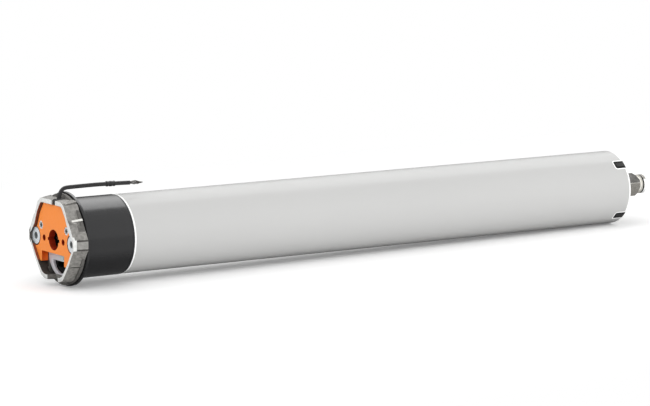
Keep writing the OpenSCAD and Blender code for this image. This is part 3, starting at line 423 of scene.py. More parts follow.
def link(name: str, mesh: bpy.types.Mesh, material: bpy.types.Material, sharp: float = 32.0) -> bpy.types.Object:
    """Puts a mesh in the scene with its material and its shading.

    Args:
        name: The piece's name.
        mesh: The mesh, in the part's frame.
        material: Its only material.
        sharp: The angle in degrees above which an edge stays sharp.

    Returns:
        The new object, at the origin.
    """
    mesh.materials.clear()
    mesh.materials.append(material)
    mesh.shade_smooth()
    mesh.set_sharp_from_angle(angle=math.radians(sharp))
    piece = bpy.data.objects.new(name, mesh)
    bpy.context.scene.collection.objects.link(piece)
    return piece


def baked(holder: bpy.types.Object, name: str) -> bpy.types.Mesh:
    """Turns an object with modifiers into a plain mesh and removes the object.

    Args:
        holder: The object whose modifiers are to be kept in the mesh.
        name: The new mesh's name.

    Returns:
        The plain mesh.
    """
    evaluated = holder.evaluated_get(bpy.context.evaluated_depsgraph_get())
    mesh = bpy.data.meshes.new_from_object(evaluated)
    mesh.name = name
    bpy.data.objects.remove(holder)
    return mesh


def skinned(bm: bmesh.types.BMesh, rings: Sequence[Sequence[bmesh.types.BMVert]],
            capped: bool = True) -> bmesh.types.BMesh:
    """Joins each ring of points to the next by faces.

    Args:
        bm: The mesh that holds the points.
        rings: The rings, which have the same number of points.
        capped: Whether the first and the last ring are closed by a face each.

    Returns:
        The same mesh, with its faces outwards.
    """
    for first, second in zip(rings, rings[1:]):
        for k, point in enumerate(first):
            n = (k + 1) % len(first)
            bm.faces.new((point, first[n], second[n], second[k]))
    if capped:
        bm.faces.new(rings[0])
        bm.faces.new(rings[-1])
    bmesh.ops.recalc_face_normals(bm, faces=bm.faces)
    return bm


def lathe(profile: Sequence[tuple[float, float]], segments: int = 192) -> bmesh.types.BMesh:
    """Turns a closed outline about the X axis.

    Args:
        profile: Points (x, radius) in millimetres, round the outline.
        segments: The number of steps round the axis.

    Returns:
        A closed mesh with its faces outwards.
    """
    bm = bmesh.new()
    rings = []
    for step in range(segments):
        angle = 2 * math.pi * step / segments
        rings.append([bm.verts.new(metres(x, r * math.cos(angle), r * math.sin(angle))) for x, r in profile])
    skinned(bm, [*rings, rings[0]], capped=False)
    bmesh.ops.remove_doubles(bm, verts=bm.verts, dist=1e-7)
    bmesh.ops.recalc_face_normals(bm, faces=bm.faces)
    return bm


def to_mesh(bm: bmesh.types.BMesh, name: str) -> bpy.types.Mesh:
    """Writes a bmesh to a new mesh and frees it."""
    mesh = bpy.data.meshes.new(name)
    bm.to_mesh(mesh)
    bm.free()
    return mesh


def rounded_outline(points: Sequence[Point], steps: int = 4) -> list[tuple[float, float]]:
    """Rounds the corners of a closed outline, each by its own radius.

    Args:
        points: X, the radius from the axis, and how far from the corner its curve starts, for each corner.
        steps: The number of pieces in a curve.

    Returns:
        The outline's points.
    """
    corners = [Vector((x, r)) for x, r, _ in points]
    outline: list[tuple[float, float]] = []
    for place, (x, r, bend) in enumerate(points):
        if bend <= 0:
            outline.append((x, r))
            continue
        corner = corners[place]
        start, end = (corner + (corners[other] - corner).normalized() * bend
                      for other in (place - 1, (place + 1) % len(corners)))
        for t in (step / steps for step in range(steps + 1)):
            outline.append(tuple(start * (1 - t) ** 2 + corner * 2 * t * (1 - t) + end * t * t))
    return outline


def cad_copy(node: str) -> bmesh.types.BMesh:
    """Copies a CAD node's mesh, with its loose triangles merged and its flat faces joined.

    Args:
        node: The CAD node.

    Returns:
        The merged copy.
    """
    bm = bmesh.new()
    bm.from_mesh(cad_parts[node].data)
    bmesh.ops.remove_doubles(bm, verts=bm.verts, dist=2e-6)
    bmesh.ops.dissolve_limit(bm, angle_limit=math.radians(0.4), verts=bm.verts, edges=bm.edges)
    return bm


def split(bm: bmesh.types.BMesh, axis: int, place: float) -> None:
    """Splits a mesh's faces at a plane across an axis (0 to 2), whose place is in millimetres."""
    across = Vector([float(k == axis) for k in range(3)])
    bmesh.ops.bisect_plane(bm, geom=[*bm.verts, *bm.edges, *bm.faces], plane_co=across * place * MM, plane_no=across)


@dataclass(frozen=True)
class Face:
    """A face's middle in millimetres and its normal, by which the zones of a surface are chosen."""

    x: float
    y: float
    z: float
    normal: Vector

    @property
    def reach(self) -> float:
        """Gives the distance from the axis."""
        return math.hypot(self.y, self.z)

    @property
    def outward(self) -> float:
        """Says how squarely the face looks away from the axis, from -1 to 1."""
        return (self.normal.y * self.y + self.normal.z * self.z) / max(self.reach, 1e-9)


Zone = tuple[str, Callable[[Face], bool]]


@dataclass
class Assembly:
    """A sub-assembly, whose pieces take their finishes from one palette."""

    palette: Palette

    def shown(self, name: str, mesh: bpy.types.Mesh, finish: str, sharp: float = 32.0) -> bpy.types.Object:
        """Puts a mesh in the scene with one finish."""
        return link(name, mesh, self.palette.get(finish), sharp)

    def stands_for(self, piece: bpy.types.Object, node: str, slot: str, body: str = "housing") -> None:
        """Hides a CAD node behind a piece, which rides on the node's body."""
        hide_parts(node)
        placed(piece, body)

    def eased(self, node: str, name: str, finish: str, slot: str, width: float, segments: int = 2,
              body: str = "housing", where: Callable[[Vector], bool] = lambda middle: True,
              zones: Sequence[Zone] = (), edge_finish: Optional[str] = None,
              slices: Sequence[tuple[int, float]] = ()) -> None:
        """Puts a copy of a CAD node, with its sharp edges rounded, in the node's place.

        Args:
            node: The CAD node.
            name: The new piece's name.
            finish: The piece's finish.
            slot: The name of a material slot; not used.
            width: The width of the rounding in millimetres.
            segments: The number of steps in the rounding.
            body: The CAD body that the piece rides on.
            where: Says for the middle of an edge, in metres, whether it is rounded.
            zones: Each part of the surface with a finish of its own: the finish, and what says which faces have it.
            edge_finish: The finish of the roundings, where it isn't the piece's own.
            slices: Axis and millimetres of each plane at which faces are split, so that a zone can end there.
        """
        bm = cad_copy(node)
        for axis, place in slices:
            split(bm, axis, place)
        weight = bm.edges.layers.float.new("bevel_weight_edge")
        for edge in bm.edges:
            if len(edge.link_faces) == 2 and edge.calc_face_angle(0) > math.radians(28):
                edge[weight] = float(where((edge.verts[0].co + edge.verts[1].co) / 2))
        holder = bpy.data.objects.new(name, to_mesh(bm, name))
        bpy.context.scene.collection.objects.link(holder)
        for label in (finish, edge_finish or finish):
            holder.data.materials.append(self.palette.get(label))
        bevel = holder.modifiers.new("eased", "BEVEL")
        bevel.limit_method = "WEIGHT"
        bevel.width = width * MM
        bevel.segments = segments
        bevel.material = 1
        mesh = baked(holder, name)
        roundings = [face.index for face in mesh.polygons if face.material_index == 1]
        piece = self.shown(name, mesh, finish, 30)
        if edge_finish is not None:
            mesh.materials.append(self.palette.get(edge_finish))
            for place in roundings:
                mesh.polygons[place].material_index = 1
        faces = [(face, Face(*(part / MM for part in face.center), face.normal)) for face in mesh.polygons]
        for place, (zone_finish, holds) in enumerate(zones, len(mesh.materials)):
            mesh.materials.append(self.palette.get(zone_finish))
            for polygon, face in faces:
                if holds(face):
                    polygon.material_index = place
        self.stands_for(piece, node, slot, body)


def placed(piece: bpy.types.Object, body: str) -> None:
    """Lets a piece ride on its body and reports it.

    Args:
        piece: The finished piece.
        body: The CAD body that it moves with.
    """
    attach(piece, body)
    LOG.info("%s rides on %s with %d faces", piece.name, body, len(piece.data.polygons))


def grown(name: str, fill: Callable[[NodeTree], bpy.types.Node], values: dict[str, object]) -> bpy.types.Mesh:
    """Makes a geometry tree, runs it with its named inputs and keeps the result as a plain mesh.

    Args:
        name: The name of the tree and of the mesh.
        fill: Adds the tree's nodes and gives the last one.
        values: A value for each named input, in the order in which fill reads them.

    Returns:
        The plain mesh.
    """
    made = NodeTree.group(name, "GeometryNodeTree", {label: SocketKind.of(value) for label, value in values.items()},
                          {"Geometry": SocketKind.GEOMETRY})
    holder = bpy.data.objects.new(name, bpy.data.meshes.new(name))
    bpy.context.scene.collection.objects.link(holder)
    modifier = holder.modifiers.new(name, "NODES")
    modifier.node_group = made.finish(Geometry=fill(made))
    for item in made.tree.interface.items_tree:
        if item.in_out == "INPUT":
            modifier[item.identifier] = values[item.name]
    return baked(holder, name)


# Sub-assemblies


@dataclass
class StudioCamera:
    """The camera, where the photograph was taken from."""

    lens: float = 167.72
    sensor: float = 36.0
    place: Point = (-0.9906, -1.9122, 0.3271)
    azimuth: float = -32.570
    elevation: float = 7.997
    roll: float = -0.2785

    def build(self) -> None:
        """Makes the camera and sets it as the scene's own."""
        data = bpy.data.cameras.new("studio_camera")
        data.lens = self.lens
        data.sensor_width = self.sensor
        data.sensor_fit = "HORIZONTAL"
        data.clip_end = 20
        camera = bpy.data.objects.new("studio_camera", data)
        bpy.context.scene.collection.objects.link(camera)
        around, above, roll = (math.radians(a) for a in (self.azimuth, self.elevation, self.roll))
        back = Vector((math.sin(around) * math.cos(above), -math.cos(around) * math.cos(above), math.sin(above)))
        right = (-back).cross(Vector((0, 0, 1))).normalized()
        up = right.cross(-back)
        axes = (right * math.cos(roll) + up * math.sin(roll), up * math.cos(roll) - right * math.sin(roll), back)
        camera.matrix_world = Matrix((*zip(*axes, self.place), (0, 0, 0, 1)))
        bpy.context.scene.camera = camera
        LOG.info("camera at %s", self.place)


@dataclass
class Aerial(Assembly):
    """The aerial: a twin lead that stands up out of the head, its sleeve and its bare strands."""

    width: float = 3.0
    thickness: float = 1.9
    offset: float = -4.2
    arc: float = 250.0
    arc_steps: int = 12
    sleeve_place: tuple[float, float, float] = (41.0, 37.9, 1.23)
    sleeve_length: float = 7.0
    sleeve_wall: float = 0.55
    tip_place: tuple[float, float, float] = (60.2, 37.36, 2.08)
    tip_length: float = 11.0
    tip_spread: float = 1.2
    tip_turns: float = 0.8
    strands: int = 9
    strand_radius: float = 0.22
    strand_steps: int = 14
    strand_sides: int = 8
    looseness: tuple[float, float] = (0.55, 1.0)
    swell: tuple[float, float] = (0.8, 0.9)
    spread_at_start: float = 0.5
    sleeve_sides: int = 48
    seed: int = 4
    route: tuple[tuple[float, float], ...] = (
        (2.6, 30), (2.7, 31), (3.1, 32.4), (3.7, 34), (4.6, 35.5), (5.8, 36.7), (7.2, 37.4), (9, 37.7),
        (11.5, 37.8), (14.5, 37.85), (18, 37.9), (23, 37.95), (28, 38), (34, 38), (41, 37.9), (48, 37.75),
        (55, 37.55), (60.5, 37.35))

    def path(self) -> list[Vector]:
        """Gives the lead's centre line in metres."""
        return [metres(x, self.offset, z) for x, z in self.route]

    def section(self) -> list[tuple[float, float]]:
        """Gives the lead's outline across and up, in millimetres: two round cores side by side."""
        core = self.thickness / 2
        apart = self.width / 2 - core
        points = []
        for side, middle in ((1, 0), (-1, 180)):
            for step in range(self.arc_steps + 1):
                angle = math.radians(middle - self.arc / 2 + self.arc * step / self.arc_steps)
                points.append((core * math.sin(angle), side * apart + core * math.cos(angle)))
        return points

    def lead(self) -> bmesh.types.BMesh:
        """Sweeps the twin outline along the centre line, whose cores lie one above the other."""
        path = self.path()
        bm = bmesh.new()
        across = Vector((0, 1, 0))
        rings = []
        for place, point in enumerate(path):
            ahead = path[min(place + 1, len(path) - 1)] - path[max(place - 1, 0)]
            way = Vector((0, 0, 1)) if place == 0 else ahead.normalized()
            up = way.cross(across).normalized()
            rings.append([bm.verts.new(point + across * (a * MM) + up * (b * MM)) for a, b in self.section()])
        return skinned(bm, rings)

    def strand_bundle(self, made: NodeTree) -> bpy.types.Node:
        """Adds the nodes that lay bare strands in a twisted, frayed bundle along X.

        Args:
            made: The tree, with its named inputs.

        Returns:
            The last node.
        """
        strands, length, spread, wire, turns, seed = made.inputs
        line = made.add("GeometryNodeCurvePrimitiveLine", {"End": made.vector(length)})
        points = made.add("GeometryNodeResampleCurve", {"Curve": line, "Count": self.strand_steps})
        copies = made.add("GeometryNodeDuplicateElements", {"Geometry": points, "Amount": strands}, domain="SPLINE")
        number = copies.outputs["Duplicate Index"]
        share = made.add("GeometryNodeSplineParameter").outputs["Factor"]
        low, high = self.looseness
        loose = made.add("FunctionNodeRandomValue", {2: low, 3: high, "ID": number, "Seed": seed},
                         data_type="FLOAT").outputs[1]
        phase = made.maths("MULTIPLY", made.maths("DIVIDE", number, strands), 2 * math.pi)
        turned = made.maths("MULTIPLY", made.maths("MULTIPLY", share, turns), 2 * math.pi)
        angle = made.maths("ADD", phase, turned)
        power, most = self.swell
        swell = made.maths("SINE", made.maths("MULTIPLY", made.maths("POWER", share, power), math.pi))
        at_start = made.maths("MULTIPLY", made.maths("SUBTRACT", 1.0, share), self.spread_at_start)
        fat = made.maths("MULTIPLY_ADD", swell, most, at_start)
        reach = made.maths("MULTIPLY", made.maths("MULTIPLY", fat, spread), loose)
        moved = made.add("GeometryNodeSetPosition", {"Geometry": copies, "Offset": made.round_x(0.0, reach, angle)})
        ring = made.add("GeometryNodeCurvePrimitiveCircle", {"Resolution": self.strand_sides, "Radius": wire})
        return made.add("GeometryNodeCurveToMesh", {"Curve": moved, "Profile Curve": ring, "Fill Caps": True})

    def laid(self, mesh: bpy.types.Mesh, place: tuple[float, float, float]) -> bpy.types.Mesh:
        """Moves a mesh that was made along X from the origin on to the lead's line.

        Args:
            mesh: The mesh.
            place: X and Z in millimetres of its start, and the slope in degrees.

        Returns:
            The same mesh.
        """
        start, height, slope = place
        mesh.transform(Matrix.Translation(metres(start, self.offset, height))
                       @ Matrix.Rotation(math.radians(slope), 4, "Y"))
        return mesh

    def sleeve(self) -> bmesh.types.BMesh:
        """Builds the crimped sleeve, with two grooves at each end."""
        half, length = self.width / 2, self.sleeve_length
        grip = half + self.sleeve_wall
        end = [(0, grip - 0.1, 0.25), (1.1, grip, 0.3), (1.5, grip - 0.35, 0.2), (2.1, grip - 0.35, 0.2),
               (2.5, grip - 0.05, 0.3)]
        other_end = [(length - x, r, bend) for x, r, bend in reversed(end)]
        return lathe(rounded_outline([(0, half, 0), *end, *other_end, (length, half, 0)]), self.sleeve_sides)

    def build(self) -> None:
        lead = self.shown("aerial_lead", to_mesh(self.lead(), "aerial_lead"), "lead_sheath", 50)
        lead.visible_glossy = False
        self.stands_for(lead, "antenna_wire", "black_rubber")

        mesh = self.laid(to_mesh(self.sleeve(), "aerial_sleeve"), self.sleeve_place)
        sleeve = self.shown("aerial_sleeve", mesh, "crimp_sleeve")
        sleeve.visible_glossy = False
        self.stands_for(sleeve, "antenna_sleeve", "black_sleeve")

        mesh = grown("aerial_strands", self.strand_bundle, {
            "Strands": self.strands, "Length": self.tip_length * MM, "Spread": self.tip_spread * MM,
            "Wire Radius": self.strand_radius * MM, "Turns": self.tip_turns, "Seed": self.seed})
        strands = self.shown("aerial_strands", self.laid(mesh, self.tip_place), "bare_strand", 60)
        self.stands_for(strands, "antenna_tip", "strands")

        self.eased("antenna_grommet", "aerial_grommet", "grommet_rubber", "black_rubber", 0.3)


@dataclass(frozen=True)
class SoftBox:
    """One soft box: where it hangs, what it faces, its size in metres and its power in watts."""

    name: str
    place: Point
    target: Point
    size: tuple[float, float]
    power: float

    def build(self) -> None:
        """Hangs the soft box."""
        data = bpy.data.lights.new(self.name, "AREA")
        data.shape = "RECTANGLE"
        data.size, data.size_y = self.size
        data.energy = self.power
        lamp = bpy.data.objects.new(self.name, data)
        lamp.location = self.place
        lamp.visible_glossy = False
        way = Vector(self.target) - Vector(self.place)
        lamp.rotation_euler = way.to_track_quat("-Z", "Y").to_euler()
        bpy.context.scene.collection.objects.link(lamp)


@dataclass
class Studio:
    """The floor, which the flange and the tube's far end rest on, and the light."""

    flange_place: tuple[float, float] = (11.0, -34.1)
    end_place: tuple[float, float] = (501.4, -29.0)
    sunk: float = 0.25
    reach: float = 9.0
    boxes: tuple[SoftBox, ...] = (
        SoftBox("overhead_box", (0.3, -0.75, 1.35), (0.3, 0, 0), (2.2, 1.0), 2.5),
        SoftBox("front_box", (0.3, -2.2, 0.1), (0.3, 0, 0), (2.4, 0.25), 14.0),
        SoftBox("head_box", (-1.55, 0.25, 0.8), (0, 0, 0), (0.9, 0.8), 6.3),
        SoftBox("end_box", (1.2, -1.2, 0.5), (0.5, 0, 0), (0.8, 0.8), 4.6),
    )
    room_light: float = 0.83
    panel_light: float = 3.7
    panel_near: tuple[float, float] = (0.02, 0.13)
    panel_far: tuple[float, float] = (0.1, 0.85)
    horizon: float = 0.05
    floor_lift: float = 0.14
    floor_shade: float = 0.96
    floor_bounce: float = 0.92
    floor_middle: float = 0.26
    floor_fade: tuple[float, float] = (0.16, 0.5)
    # Painted reflection of the floor: a dim strip beside the motor stands for its shadow, and the floor behind it is
    # dark.
    shadow_strip_place: tuple[float, float] = (0.03, 0.06)
    shadow_strip_light: tuple[float, float] = (0.12, 0.6)
    far_light: float = 0.05
    far_turn: float = 0.2
    # The floor's bounce light is painted dark in a strip under the motor, as shade.
    contact: tuple[float, float] = (0.006, 0.022)
    contact_bounce: float = 0.04

    def floor_material(self) -> bpy.types.Material:
        """Makes the floor's paint: pale, lifted to white for the camera, white far away, and dim in reflections."""
        material = bpy.data.materials.new("pale_floor")
        material.use_nodes = True
        tree = NodeTree(material.node_tree)
        shader = material.node_tree.nodes["Principled BSDF"]
        shader.inputs["Base Color"].default_value = (self.floor_shade, self.floor_shade, self.floor_shade, 1)
        shader.inputs["Roughness"].default_value = 0.7
        shader.inputs["Specular IOR Level"].default_value = 0.1
        rays = tree.add("ShaderNodeLightPath").outputs
        seen = tree.maths("MAXIMUM", rays["Is Camera Ray"], rays["Is Transmission Ray"])
        parts = tree.add("ShaderNodeSeparateXYZ", tree.add("ShaderNodeTexCoord").outputs["Object"]).outputs
        beside = tree.maths("ABSOLUTE", parts[1])
        from_middle = tree.maths("ABSOLUTE", tree.maths("SUBTRACT", parts[0], self.floor_middle))
        distance = tree.maths("MAXIMUM", beside, tree.maths("SUBTRACT", from_middle, self.floor_middle))
        away = tree.add("ShaderNodeMapRange", distance, *self.floor_fade, 0.0, 1.0, interpolation_type="SMOOTHSTEP")
        near = tree.add("ShaderNodeAddShader", shader, tree.add("ShaderNodeEmission", None, self.floor_lift))
        blend = tree.add("ShaderNodeMixShader", away, near, tree.add("ShaderNodeEmission", None, 1.0))
        # In reflections the floor is painted: a dim strip beside the motor as its shadow, going dark behind the motor.
        shadow_strip = tree.add("ShaderNodeMapRange", beside, *self.shadow_strip_place, *self.shadow_strip_light)
        far = tree.add("ShaderNodeMapRange", parts[1], -self.far_turn, self.far_turn, self.shadow_strip_light[1],
                       self.far_light)
        mirrored = tree.add("ShaderNodeMixShader", away,
                            *(tree.add("ShaderNodeEmission", None, light) for light in (shadow_strip, far)))
        # Painted shade: the floor's bounce light is dark in a strip under the motor's axis.
        bounce = tree.add("ShaderNodeMapRange", beside, *self.contact, self.contact_bounce, self.floor_bounce)
        plain = tree.add("ShaderNodeMixShader", rays["Is Glossy Ray"], tree.add("ShaderNodeBsdfDiffuse", bounce),
                         mirrored)
        tree.plug(tree.add("ShaderNodeMixShader", seen, plain, blend),
                  material.node_tree.nodes["Material Output"].inputs["Surface"])
        return material

    def floor(self) -> None:
        """Lays the floor as one large sheet, tilted so that both rests touch it."""
        (x0, z0), (x1, z1) = self.flange_place, self.end_place
        slope = (z1 - z0) / (x1 - x0)
        bm = bmesh.new()
        half = self.reach / 2
        bm.faces.new([bm.verts.new((x, y, (z0 - self.sunk) * MM + slope * (x - x0 * MM)))
                      for x, y in ((-half, -half), (half, -half), (half, half), (-half, half))])
        link("studio_floor", to_mesh(bm, "studio_floor"), self.floor_material())

    def room(self) -> None:
        """Sets the room: white to the camera, soft grey as a light, with a bright panel in reflections."""
        world = bpy.data.worlds.new("studio_room")
        bpy.context.scene.world = world
        world.use_nodes = True
        tree = NodeTree(world.node_tree)
        room = world.node_tree.nodes["Background"]
        room.inputs["Color"].default_value = (1, 1, 1, 1)
        white, panel = (tree.add("ShaderNodeBackground", (1, 1, 1, 1), light) for light in (1.0, self.panel_light))
        rays = tree.add("ShaderNodeLightPath").outputs
        way = tree.add("ShaderNodeSeparateXYZ", tree.add("ShaderNodeTexCoord").outputs["Generated"]).outputs
        lean = tree.maths("DIVIDE", way[1], tree.maths("MAXIMUM", way[2], 0.001))
        near, far = (tree.add("ShaderNodeMapRange", value, *edge, 0.0, 1.0, interpolation_type="SMOOTHSTEP")
                     for value, edge in ((lean, self.panel_near), (way[2], self.panel_far)))
        behind = tree.maths("MULTIPLY", near, rays["Is Glossy Ray"])
        tree.plug(tree.maths("MULTIPLY_ADD", behind, self.horizon - self.room_light, self.room_light),
                  room.inputs["Strength"])
        glossy = tree.maths("MULTIPLY", tree.maths("MULTIPLY", near, far), rays["Is Glossy Ray"])
        lit = tree.add("ShaderNodeMixShader", glossy, room, panel)
        tree.plug(tree.add("ShaderNodeMixShader", rays["Is Camera Ray"], lit, white),
                  world.node_tree.nodes["World Output"].inputs["Surface"])

    def build(self) -> None:
        """Makes the floor, the soft boxes and the room."""
        self.floor()
        for box in self.boxes:
            box.build()
        self.room()
        bpy.context.scene.view_settings.view_transform = "Standard"
        LOG.info("studio has %d soft boxes", len(self.boxes))


@dataclass
class ScrewSet(Assembly):
    """A row of equal screws: one screw, copied to its places by geometry nodes."""

    name: str
    node: str
    first: Point
    step: Point
    head_radius: float
    head_height: float
    thread_radius: float
    length: float
    hex_size: float = 0.0
    cross_size: float = 0.0
    cross_arm: float = 0.19
    count: int = 2
    deepest: float = 3.0
    segments: int = 48

    @property
    def recess(self) -> float:
        """Gives the radius to the recess's corners."""
        return self.hex_size / math.sqrt(3) if self.hex_size else self.cross_size / 2

    def mouth(self, angle: float) -> float:
        """Measures the recess's outline: a hexagon or a four-armed cross.

        Args:
            angle: The angle round the screw's axis.

        Returns:
            The outline's radius there in millimetres.
        """
        if self.hex_size:
            half = math.pi / 6
            return self.recess * math.cos(half) / math.cos(angle % (2 * half) - half)
        half = math.pi / 4
        part = abs((angle + half) % (2 * half) - half)
        return min(self.recess, self.cross_arm * self.cross_size / max(math.sin(part), 1e-6))

    def one(self) -> bmesh.types.BMesh:
        """Builds one screw, with its mouth at the origin and its thread along +X."""
        r, t, depth = self.head_radius, self.thread_radius, min(self.deepest, self.head_height)
        angles = [2 * math.pi * k / self.segments for k in range(self.segments)]
        rings = [(x, [self.mouth(angle) * share + more for angle in angles])
                 for x, share, more in ((depth, 0.55, 0), (depth - 0.4, 0.98, 0), (0.25, 1, 0), (0, 1, 0.25))]
        rings += [(x, [radius] * self.segments) for x, radius in (
            (0, r - 0.25), (0.12, r - 0.06), (0.35, r - 0.12), (self.head_height, t), (self.length - 0.6, t),
            (self.length, t - 0.5))]
        bm = bmesh.new()
        return skinned(bm, [[bm.verts.new(metres(x, radius * math.cos(a), radius * math.sin(a)))
                             for a, radius in zip(angles, radii)] for x, radii in rings])

    def row(self, made: NodeTree) -> bpy.types.Node:
        """Adds the nodes that copy one screw along a line of points.

        Args:
            made: The tree, with its named inputs.

        Returns:
            The last node.
        """
        count, start, step, screw = made.inputs
        line = made.add("GeometryNodeMeshLine", {"Count": count, "Start Location": start, "Offset": step},
                        mode="OFFSET")
        return made.copies(line, made.add("GeometryNodeObjectInfo", screw).outputs["Geometry"])

    def build(self) -> None:
        """Makes the row of screws and puts it in place of its CAD node."""
        master = bpy.data.objects.new(f"{self.name}_one", to_mesh(self.one(), f"{self.name}_one"))
        first, step = metres(*self.first), metres(*self.step)
        mesh = grown(self.name, self.row, {"Count": self.count, "Start": first, "Step": step, "Screw": master})
        bpy.data.objects.remove(master)
        piece = self.shown(self.name, mesh, "screw_steel", 30)
        # The screw's recess is painted darker as shade.
        piece.data.materials.append(self.palette.get("screw_recess_shade"))
        for face in piece.data.polygons:
            off_axis = min((face.center - first - step * number).yz.length for number in range(self.count))
            if off_axis < (self.recess + 0.3) * MM and -0.1 < face.center.x / MM - self.first[0] < self.deepest + 0.1:
                face.material_index = 1
        self.stands_for(piece, self.node, "zinc")


@dataclass
class Head(Assembly):
    """The cast head with its orange plate, its screws and the cable socket."""

    front: float = -1.9
    wall: float = 4.0
    pocket_floor: float = 5.4
    back_ring: float = 33.1
    shoulder: tuple[float, float] = (5.9, 9.0)
    lug_side: float = 33.5
    lug_inside: float = 29.0
    lug_front: float = 32.4
    lug_heights: tuple[float, float, float] = (2.7, 3.9, 6.0)
    lug_rim: tuple[float, float] = (2.3, 1.2)
    side_line: tuple[float, float] = (-17.0, -16.1)
    plate_low: float = -17.5
    bore: float = 9.5
    fixing: tuple[float, float] = (14.6, 2.5)
    lit_depth: float = 5.0
    ribs: tuple[tuple[float, float], ...] = ((27.9, 16.7), (27.2, 16.2))
    rib_width: float = 1.3
    sides: tuple[tuple[float, float], ...] = (
        (0.0, 30.0), (16.0, 30.0), (21.5, 27.0), (26.5, 18.0), (29.2, 15.3), (33.0, 9.5), (36.6, 3.6), (36.6, -3.6),
        (33.2, -8.0), (28.0, -15.8), (23.0, -22.0), (17.5, -28.0), (12.0, -30.0), (0.0, -30.0))

    def depth(self, face: Face) -> float:
        """Measures how far a face lies inside the head's outline.

        Args:
            face: The face.

        Returns:
            The distance to the nearest side in millimetres.
        """
        point = Vector((abs(face.y), face.z))
        distances = []
        for first, second in zip(self.sides, self.sides[1:]):
            start, end = Vector(first), Vector(second)
            run = end - start
            share = min(max((point - start).dot(run) / run.length_squared, 0.0), 1.0)
            distances.append((point - start - run * share).length)
        return min(distances)

    def by_lug(self, face: Face, low: float, high: float) -> bool:
        """Says whether a face lies out at a lug's side, between two heights from its middle."""
        return abs(face.y) > self.lug_side and low <= abs(face.z) < high

    def in_pocket(self, face: Face) -> bool:
        """Says whether a face belongs to the pocket behind the rim's front edge."""
        return self.front + 0.3 < face.x < self.pocket_floor and self.depth(face) > self.wall - 0.7

    def beside_plate(self, face: Face) -> bool:
        """Says whether a face of the pocket lies beside the orange plate, where it is painted dark reddish brown as
        shade with the plate's orange bounce light.
        """
        at_lug = face.y > self.lug_inside and abs(face.z) < self.lug_heights[2]
        return self.in_pocket(face) and abs(face.normal.x) < 0.5 and face.z > self.plate_low and not at_lug

    def on_rib(self, face: Face) -> bool:
        """Says whether a face belongs to the crest of an upper rib, which is painted light as a highlight."""
        place, facing = (Vector((abs(v.y), v.z)) for v in (face, face.normal))
        return face.x > 0 and facing.dot(place.normalized()) > 0.8 and self.depth(face) < 1.6 and any(
            (place - Vector(rib)).length < self.rib_width for rib in self.ribs)

    def on_lug(self, face: Face) -> bool:
        """Says whether a face is the flat side of a screw lug."""
        return face.x > self.front + 1 and abs(face.normal.y) > 0.9 and self.by_lug(face, 0, self.lug_heights[0])

    def beside_lug(self, face: Face) -> bool:
        """Says whether a face is one of the rounded edges above and below a lug's side, which are painted dark as
        shade.
        """
        return face.x > self.front + 1 and abs(face.normal.x) < 0.5 and self.by_lug(face, *self.lug_heights[:2])

    def on_front(self, face: Face) -> bool:
        """Says whether a face belongs to the machined front of the rim."""
        return face.x < self.front + 0.32 and face.normal.x < -0.35

    def on_back_ring(self, face: Face) -> bool:
        """Says whether a face belongs to the round step behind the rim."""
        return abs(face.reach - self.back_ring) < 0.5 and face.x > 5 and abs(face.normal.x) < 0.6

    def on_shoulder(self, face: Face) -> bool:
        """Says whether a face belongs to the shoulder behind the rim, which looks forward and lies in shade."""
        return self.shoulder[0] < face.x < self.shoulder[1] and face.normal.x < -0.6

    def on_lug_rim(self, face: Face) -> bool:
        """Says whether a face belongs to the strip along the front of a lug's side, which is painted bright as the
        highlight of a rounded edge.
        """
        depth = self.lug_rim[0] if abs(face.z) < self.lug_heights[1] else self.lug_rim[1]
        return 0.2 < face.x - self.front < depth and self.by_lug(face, 0, self.lug_heights[2]) and (
            face.y * face.normal.y > 0)

    def in_side_line(self, face: Face) -> bool:
        """Says whether a face belongs to the line low on a side, which is painted dark as shade."""
        beside = face.x > self.front + 1 and abs(face.normal.x) < 0.5 and face.y * face.normal.y > 0
        return beside and self.side_line[0] < face.z < self.side_line[1] and self.depth(face) < 1

    def on_turned_lug(self, face: Face) -> bool:
        """Says whether a face is the front of the lug that looks away from the light."""
        return self.on_front(face) and face.y > self.lug_front and abs(face.z) < self.lug_heights[2]

    def on_side(self, face: Face) -> bool:
        """Says whether a face belongs to the plate's side walls, which are painted darker orange as shade."""
        return face.x > 0.3 and abs(face.normal.x) < 0.4

    def in_hole(self, face: Face) -> bool:
        """Says whether a face belongs to the wall of the plate's bore or of a fixing hole, which is painted dark red as
        shade.
        """
        across, radius = self.fixing
        return self.on_side(face) and (face.reach < self.bore or math.hypot(abs(face.y) - across, face.z) < radius)

    def deep_in_bore(self, face: Face) -> bool:
        """Says whether a face lies so deep in the bore that it is painted black as shade."""
        return self.in_hole(face) and face.x > self.lit_depth and abs(face.y) < self.bore

    def build(self) -> None:
        """Makes the head's pieces."""
        slices = [(1, self.lug_front), *((0, self.front + depth) for depth in self.lug_rim),
                  *((2, side * height) for height in self.lug_heights for side in (1, -1)),
                  *((2, place) for place in self.side_line)]
        # Several zones are painted light and shade: shade with orange bounce light on the pocket walls beside the
        # plate, highlights on the upper rib crests and along each lug's front, and shade on the rounded lug edges, the
        # low side line, the back ring, the shoulder and the turned lug front.
        self.eased("head_casting", "cast_head", "cast_alloy", "cast_grey", 0.35, edge_finish="cast_edge", slices=slices,
                   zones=(("cast_pocket", self.in_pocket), ("pocket_bounce_shade", self.beside_plate),
                          ("machined_rim_and_lug_highlight", self.on_front), ("cast_rib_highlight", self.on_rib), ("cast_lug", self.on_lug),
                          ("cast_crease_shade", self.beside_lug), ("cast_shade", self.on_back_ring),
                          ("cast_shade", self.on_shoulder), ("cast_crease_shade", self.in_side_line),
                          ("machined_rim_and_lug_highlight", self.on_lug_rim), ("cast_shade", self.on_turned_lug)))
